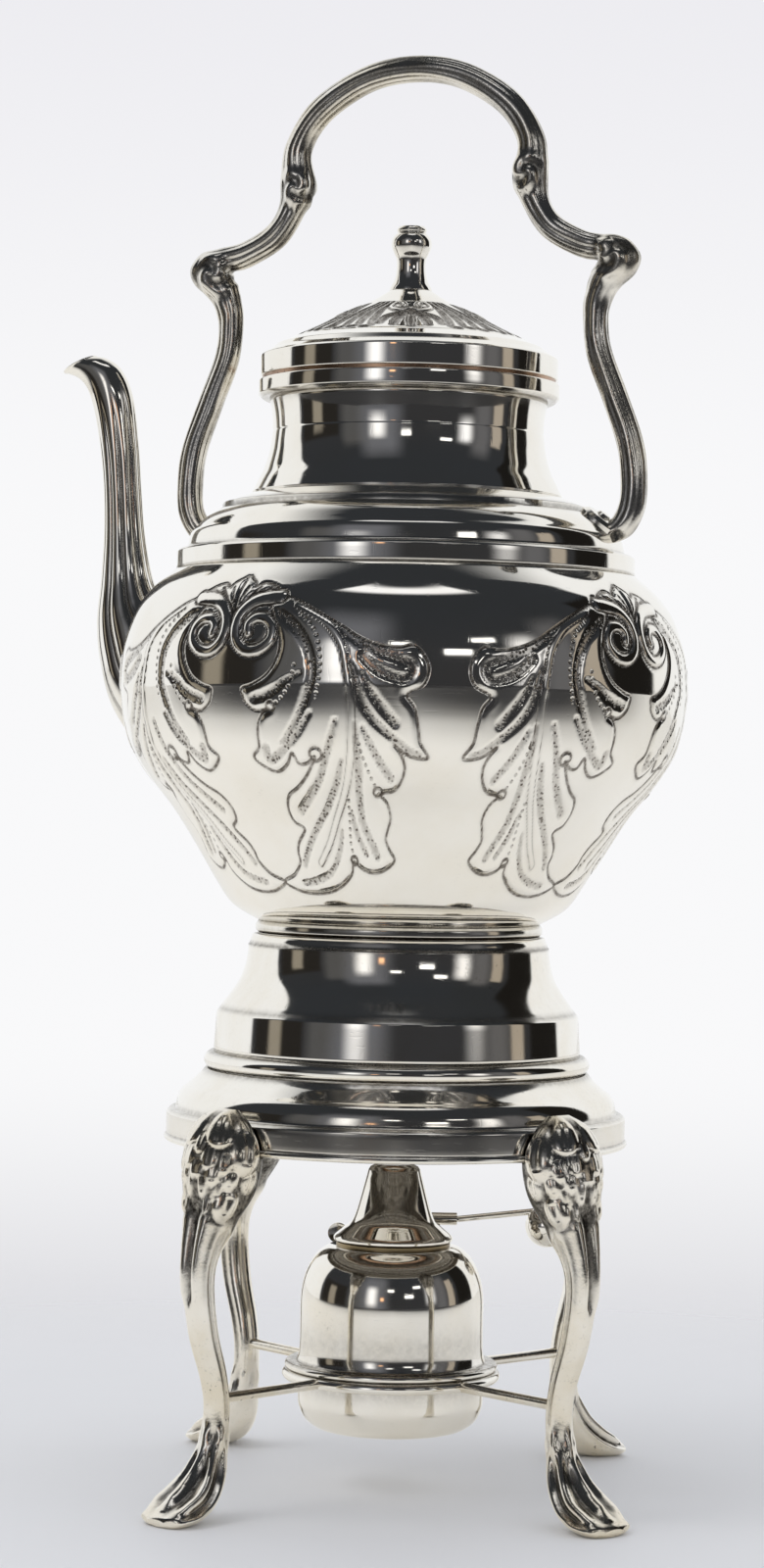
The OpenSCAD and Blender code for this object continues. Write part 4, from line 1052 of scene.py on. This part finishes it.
spoutValues = {"around": 120, "rings": 500, "wall": 0.9, "bowl": 79, "foot": 157.6, "ribs": 10}
spoutRings = [  # outer edge, inner edge, half width
    (26.6, 155.6, 17.6, 160.2, 4.3), (21.8, 153.6, 13.6, 159.4, 4.8), (18.7, 149.6, 9.2, 156.2, 5.1),
    (16.4, 142.4, 5.6, 148.4, 5.2), (14.6, 132.4, 3.5, 134.6, 5.2), (13.4, 121.4, 2.4, 121.8, 5.4),
    (13, 108.6, 1.1, 108.8, 5.9), (13.6, 95, -1.4, 96.6, 7.4), (14.4, 83, -4.5, 91, 9.4), (12.9, 71, -7.5, 89.3, 11),
    (8.5, 58, -8.8, 88.7, 12), (-2, 44, -10, 88.4, 12.5),
]


def ringsAt(rings, along):
    # Middle, direction to the outer edge, half depth and half width at places along a table of rings
    line = np.array(rings)
    s = np.stack([np.interp(along, np.arange(len(line)), line[:, k]) for k in range(5)], axis=1)
    centre, half = (s[:, :2] + s[:, 2:4]) / 2, (s[:, :2] - s[:, 2:4]) / 2
    size = np.linalg.norm(half, axis=1)
    return centre, half / size[:, None], size, s[:, 4]


def turnKettle(x, y, z):
    turn = math.radians(kettleValues["turn"])
    return np.stack([x * math.cos(turn) + y * math.sin(turn), -x * math.sin(turn) + y * math.cos(turn), z], axis=1)


def placeSpout(u, v):
    values = spoutValues
    line = smoothLine(spoutRings, 12)
    count = len(line) - 1
    inner = u > 0.5
    along = count - np.where(inner, (1 - u) * 2, u * 2) * count
    centre, unit, size, width = ringsAt(line, along)
    angle = v * math.tau
    ribs = np.abs(np.sin(angle * values["ribs"] / 2)) ** 0.7
    fade = step01(along, 26, 60)
    rib = (ribs - 1) * (0.55 + 0.045 * size) * fade
    wall = np.where(inner, values["wall"], 0)
    a, b = size + rib - wall, width + rib - wall
    bead = 0.35 * bell(along - 1, 1.4) * (~inner)
    x = centre[:, 0] + unit[:, 0] * (a + bead) * np.cos(angle)
    z = centre[:, 1] + unit[:, 1] * (a + bead) * np.cos(angle) + values["foot"]
    y = (b + bead) * np.sin(angle)
    # its foot follows the bowl
    outline = np.array(bowlOutline())
    reach = np.interp(z, outline[:, 1], outline[:, 0]) - 0.5
    onBowl = np.sqrt(np.maximum(reach ** 2 - y ** 2, 1)) - values["bowl"]
    blend = step01(along, count - 3, count)
    x = x * (1 - blend) + onBowl * blend
    x = np.where(along >= count - 0.01, onBowl, np.maximum(x, onBowl - 0.3))
    soil = 0.75 * (1 - ribs) ** 2 * fade * (~inner) + 0.5 * bell(along - count, 4)
    return turnKettle(-(values["bowl"] + x), -y, z), {"soil": np.clip(soil, 0, 1)}


sweptPiece("spoutFluted", spoutValues["rings"], spoutValues["around"], placeSpout, "kettle", silverPlate,
           ["spout"])
print("spout ready")


handleValues = {
    "rings": 760, "around": 72, "foot": 260.3, "sides": 7, "curl": 0.45, "flute": 0.1, "ripple": 0.04, "worn": 0.5,
    "knots": [  # place, radius, rise, in the handle's own plane
        (-33.5, 103.0, 5.2, 1.3), (34.0, 105.0, 5.4, 1.2), (-58.5, 79.5, 6.0, 1.0), (59.5, 81.5, 6.4, 1.1),
    ],
}
handleRings = [  # outer edge, inner edge, half width, from the middle of the arch to the right end
    (0, 139.5, 0, 131.9, 4.2), (16, 136.6, 13.2, 129.6, 3.9), (30.3, 128, 25.1, 122.2, 3.9),
    (38, 116.6, 30.6, 113.6, 4), (39.6, 106, 29.3, 104.5, 4.4), (39.9, 98.8, 32.6, 96.1, 3.8),
    (43.6, 93, 38.6, 87.5, 3.8), (51.1, 88.9, 47.9, 82.2, 3.8), (58, 87.4, 54.6, 80.4, 4.2),
    (63.2, 86, 54.2, 79.5, 4.6), (66.6, 81.8, 53.6, 78.5, 4.8), (65.4, 77, 52.9, 77.4, 4.7),
    (61.2, 73.3, 52.1, 75.8, 4.2), (58.6, 69.5, 51.2, 72.5, 3.8), (57.6, 64.5, 50.4, 67.3, 3.6),
    (58.4, 57.1, 51.4, 55.5, 3.6), (62.9, 45.2, 56.1, 42.6, 3.7), (67.7, 32.5, 60.5, 30.5, 3.8),
    (69.5, 22.1, 61.9, 21.7, 3.8), (69, 12, 61.7, 14, 3.8), (65.6, 5.4, 59.4, 9.4, 3.9), (60.3, 2.6, 56, 8.2, 3.6),
]


def placeHandle(u, v):
    values = handleValues
    mirrored = [(-a, b, -c, d, w) for a, b, c, d, w in handleRings[:0:-1]]
    line = smoothLine(mirrored + handleRings, 12)
    along = u * (len(line) - 1)
    centre, unit, size, width = ringsAt(line, along)
    angle = v * math.tau
    facets = np.cos(((angle * values["sides"] / math.tau) % 1 - 0.5) * math.tau / values["sides"])
    flat = (1 / facets - 1) * -9
    end = np.minimum(u, 1 - u)
    inside = -np.cos(angle)
    cx, cz = centre[:, 0] + unit[:, 0] * size * np.cos(angle), centre[:, 1] + unit[:, 1] * size * np.cos(angle)
    bulge, curl, rimSoil = np.zeros(len(u)), np.zeros(len(u)), np.zeros(len(u))
    for kx, kz, reach, up in values["knots"]:
        away = np.hypot(cx - kx, cz - kz) / reach
        bulge += up * bell(away, 0.75)
        turnAbout = np.arctan2(cz - kz, (cx - kx) * np.sign(kx))
        spiral = np.sin(turnAbout * 2 + away * 5.5)
        curl += values["curl"] * spiral * bell(away - 0.6, 0.5)
        rimSoil += np.clip(-spiral, 0, 1) * bell(away - 0.6, 0.5)
    flute = values["flute"] * np.sin(angle * 3 + along * 0.03) * (1 - np.clip(bulge, 0, 1))
    # painted shade: hollow is no hollow here, it darkens the handle's outer (upper) and inner faces in patches
    hollow = np.clip(np.cos(angle * 2 + 0.7 * np.sin(along * 0.11)), 0, 1)
    hollow *= np.clip(0.55 + 0.6 * np.sin(along * 0.31 + angle), 0, 1)
    ripple = values["ripple"] * np.sin(along * 0.37 + angle * 3)
    rise = flat * 0.35 + flute + ripple + bulge * (0.75 + 0.25 * inside) + curl
    # the flat that is worn into the top of the arch
    worn = bell((cx + 1.5) / 6.5, 1.0) * bell((cz - 137) / 5, 1.0) * bell((np.degrees(angle) % 360 - 296) / 34, 1.0)
    rise = rise * (1 - worn) - values["worn"] * worn
    a, b = size + rise, width + rise
    x = centre[:, 0] + unit[:, 0] * a * np.cos(angle)
    z = centre[:, 1] + unit[:, 1] * a * np.cos(angle) + values["foot"]
    soil = (0.12 + 0.42 * hollow + 0.7 * rimSoil) * step01(end, 0, 0.02) * (1 - 0.9 * worn)
    soil += 0.5 * bell(worn - 0.45, 0.16)
    return turnKettle(x, b * np.sin(angle), z), {"soil": np.clip(soil, 0, 1)}


sweptPiece("handleCast", handleValues["rings"], handleValues["around"], placeHandle, "kettle", castSilver,
           ["handle"])
print("handle ready")


# Lid

lidValues = {"radius": 41.6, "low": 309.1, "dome": 315.3, "top": 333.8, "finialRadius": 6, "finialHeight": 18,
             "wall": 1.0, "screw": 1.5}


lidReliefValues = {"cell": 0.15, "uLow": -1.0, "uHigh": 20.0, "zLow": 8.0, "zHigh": 40.0}
lidMotifs = {"first": 0, "apart": 90, "radius": 24}
lidVolute = [
    (0.7, 19.6), (2.4, 20.6), (4.8, 20.5), (7.0, 18.9), (7.1, 16.4), (5.3, 14.7), (3.3, 15.2), (2.6, 17.1),
    (3.8, 18.5), (5.2, 17.6),
]
lidPetals = [
    (1.1, [(0.0, 21.4), (0.0, 31.6)]), (1.0, [(1.6, 22.2), (3.4, 26.2), (3.6, 31.0)]),
    (1.0, [(3.4, 22.6), (6.4, 25.4), (7.0, 29.8)]),
    (0.9, [(8.2, 14.0), (9.3, 20.0), (9.4, 26.0), (8.6, 31.4), (10.2, 32.2)]),
    (0.95, [(10.6, 13.6), (12.0, 20.0), (12.4, 26.0), (11.8, 30.9), (13.4, 31.8)]),
    (0.95, [(13.0, 13.4), (14.6, 20.0), (15.4, 26.0), (14.9, 31.2), (16.4, 32.2)]),
    (0.9, [(15.4, 13.4), (17.2, 20.0), (18.2, 26.0), (18.0, 31.6)]),
]


def drawLidRelief():
    v = lidReliefValues
    u, r = np.meshgrid(np.arange(v["uLow"], v["uHigh"], v["cell"]), np.arange(v["zLow"], v["zHigh"], v["cell"]))
    mirrored, reach = np.abs(u), chaseReach["chase"]
    band = step01(r, 12.6, 13.8) * step01(r, 33.6, 32.4)
    hollow, chase = np.zeros(u.shape), np.full(u.shape, reach)
    for half, points in lidPetals:
        d, along, length = lineField(smoothLine(points, 6), mirrored, r, reach)
        width = half * (0.55 + 0.45 * np.sin(np.pi * np.clip(along / length, 0.12, 0.88)))
        hollow = np.maximum(hollow, roundTop(d, width))
        chase = np.minimum(chase, np.abs(d - width * 1.15) + 0.1)
    d, _, _ = lineField(smoothLine(lidVolute, 6), mirrored, r, reach)
    hollow *= step01(d, 0.9, 1.4)
    chase = np.minimum(np.where(d < 1.2, reach, chase), np.abs(d - 0.95))
    height = band * (0.25 - 0.5 * hollow) + 0.3 * roundTop(d, 0.8)
    return {"height": height, "chase": np.where(band > 0.05, chase, reach), "soil": band * hollow}


def chaseLid(mesh, dome):
    relief = drawLidRelief()
    points = readPoints(mesh)
    r = np.hypot(points[:, 0], points[:, 1])
    profile = np.array(dome)[::-1]
    outside = np.abs(points[:, 2] - np.interp(r, profile[:, 0], profile[:, 1])) < 0.12
    outside &= (r > profile[0, 0] + 0.3) & (r < profile[-1, 0])
    u = motifPlace(points, **lidMotifs)
    points[:, 2] += np.where(outside, readGrid(relief["height"], u, r, lidReliefValues), 0)
    writePoints(mesh, points)
    for key in ("chase", "soil"):
        setAttribute(mesh, key, np.where(outside, readGrid(relief[key], u, r, lidReliefValues),
                                         chaseReach.get(key, 0.0)))
    setAttribute(mesh, "beadAcross", np.full(len(r), chaseReach["beadAcross"]))


def buildLid():
    v = lidValues
    radius, low, rim, top, wall = (v[k] for k in ("radius", "low", "dome", "top", "wall"))
    dome = smoothLine(fitted((radius - 4.2, rim + 2.6), (v["finialRadius"], top),
                             [(0, 0), (0.17, 0.14), (0.39, 0.35), (0.55, 0.52), (0.73, 0.68), (0.84, 0.8), (1, 1)]), 8)
    outer = [(radius, low), (radius, rim - 0.5), (radius - 0.6, rim), (radius - 2.6, rim + 1.2)] + dome
    corners = eased(outer, 0.35, (1, 2)) + sharp([(v["screw"], top), (v["screw"], top - wall)])
    corners += sharp(insetLine(outer, wall)[1:])
    cover = turnedPiece("lidCover", corners, "lid", chasedPlate, ["lid_cover"], segments=480, step=0.4)
    chaseLid(cover.data, dome)


def buildFinial():
    v = lidValues
    low, screw, top = v["top"], v["screw"], v["top"] + v["finialHeight"]
    body = smoothLine(fitted((0, low), (v["finialRadius"], top),
                             [(1, 0), (0.94, 0.06), (0.79, 0.16), (0.7, 0.27), (0.67, 0.4), (0.7, 0.5),
                              (0.82, 0.59), (0.93, 0.69), (0.92, 0.78), (0.8, 0.86), (0.67, 0.9), (0.7, 0.95),
                              (0.6, 1)]), 5)
    corners = sharp([(0.0, low - 6), (screw, low - 6), (screw, low)] + body + [(0.0, top)])
    turnedPiece("finialKnob", corners, "lid", silverPlate, ["finial"], segments=96, step=0.5)


buildLid()
buildFinial()
print("lid ready")


# Lamp

lampValues = {
    "ring": {"top": 32.9, "thick": 3, "radius": 30.4, "bore": 26.4},
    "cup": {"radius": 25.9, "depth": 17, "wall": 0.8},
    "dome": {"low": 35.1, "height": 32.3, "flange": 29.7, "flangeHeight": 2.2, "burner": 15.9, "tube": 5.5},
    "snuffer": {"low": 68.2, "height": 21.7, "radius": 16.7, "top": 7.7},
}


def buildRing():
    top, thick, radius, bore = lampValues["ring"].values()
    half = thick / 2
    corners = sharp([(bore, top - thick)] + arcLine(radius - half, top - half, half, -90, 90, 12) + [(bore, top)])
    turnedPiece("lampRing", corners, "stand", silverPlate, ["lamp_ring"], soil=[(top, 0.4, 0.6)])


def buildCup():
    radius, depth, wall = lampValues["cup"].values()
    top = lampValues["ring"]["top"]
    low = top - depth
    outer = smoothLine(fitted((radius * 0.62, low), (radius, top - depth * 0.45),
                              [(0, 0), (0.45, 0.07), (0.8, 0.33), (0.97, 0.7), (1, 1)]), 6) + [(radius, top)]
    corners = sharp(outer + insetLine(outer, wall)[:-1] + [(radius * 0.6, low + wall), (0.0, low + wall), (0.0, low)])
    turnedPiece("lampCup", corners, "lamp", cleanPlate, ["lamp_cup"], soil=[(top - 3, 3, 0.4)])


def buildDome():
    low, height, flange, roll, burner, tube = lampValues["dome"].values()
    cup, wall = (lampValues["cup"][k] for k in ("radius", "wall"))
    r, half, hole = cup - 0.3, roll / 2, tube + 2
    outer = smoothLine(fitted((r + 0.9, low), (r, low + height * 0.5),
                              [(0, 0), (0.8, 0.13), (1, 0.35), (1, 1)]), 4)[:-1]
    outer += [(burner + (r - burner) * math.cos(a), low + height * (0.5 + 0.5 * math.sin(a)))
              for a in np.radians(np.arange(0, 91, 6))]
    corners = sharp([(cup - 0.8, low - roll)] + arcLine(flange - half, low - half, half, -90, 90, 15) + outer
                    + [(hole, low + height), (hole, low + height - wall)] + insetLine(outer, wall)[1:])
    turnedPiece("lampDome", corners, "lamp", silverPlate, ["lamp_dome"],
                soil=[(low, 0.6, 0.7), (low + 6, 5, 0.25)])


def buildSnuffer():
    low, height, r, t = lampValues["snuffer"].values()
    top, wall = low + height, lampValues["cup"]["wall"]
    side = smoothLine(fitted((r - 0.6, low + 2.1), (t, top - 3),
                             [(0, 0), (0.286, 0.114), (0.5, 0.205), (0.643, 0.355), (0.786, 0.596), (1, 1)]), 6)
    outer = [(r - 1.1, low), (r - 0.1, low + 0.6), (r, low + 1.3)] + side + [(t - 0.35, top - 1.5), (t - 1, top - 0.6),
        (t - 2.4, top)]
    crown = range(len(outer) - 3, len(outer))
    corners = eased(outer, 0.3, (1, 2))[:crown.start] + [(q, z, 0.5) for q, z in outer[crown.start:]]
    corners += sharp([(0.0, top), (0.0, top - wall)] + insetLine(outer, wall)[1:])
    turnedPiece("snufferCap", corners, "snuffer", silverPlate, ["snuffer_cap"], segments=128, step=1.0,
                soil=[(low + 0.1, 0.4, 0.7)])


buildRing()
buildCup()
buildDome()
buildSnuffer()
print("lamp ready")


# CAD nodes that keep their own mesh
nodeMaterials = [
    (bareCopper, ("collar_seat", "lid_bezel")), (brassDarkForShade, ("burner_plate", "wick_tube", "finial_nut")),
    (cotton, ("wick",)),
    (castSilver, ("ring_rods", "handle_rosette_left", "handle_rosette_right")),
]
for name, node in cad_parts.items():
    material = next((material for material, names in nodeMaterials if name in names), silverPlate)
    node.data.materials.clear()
    node.data.materials.append(material)
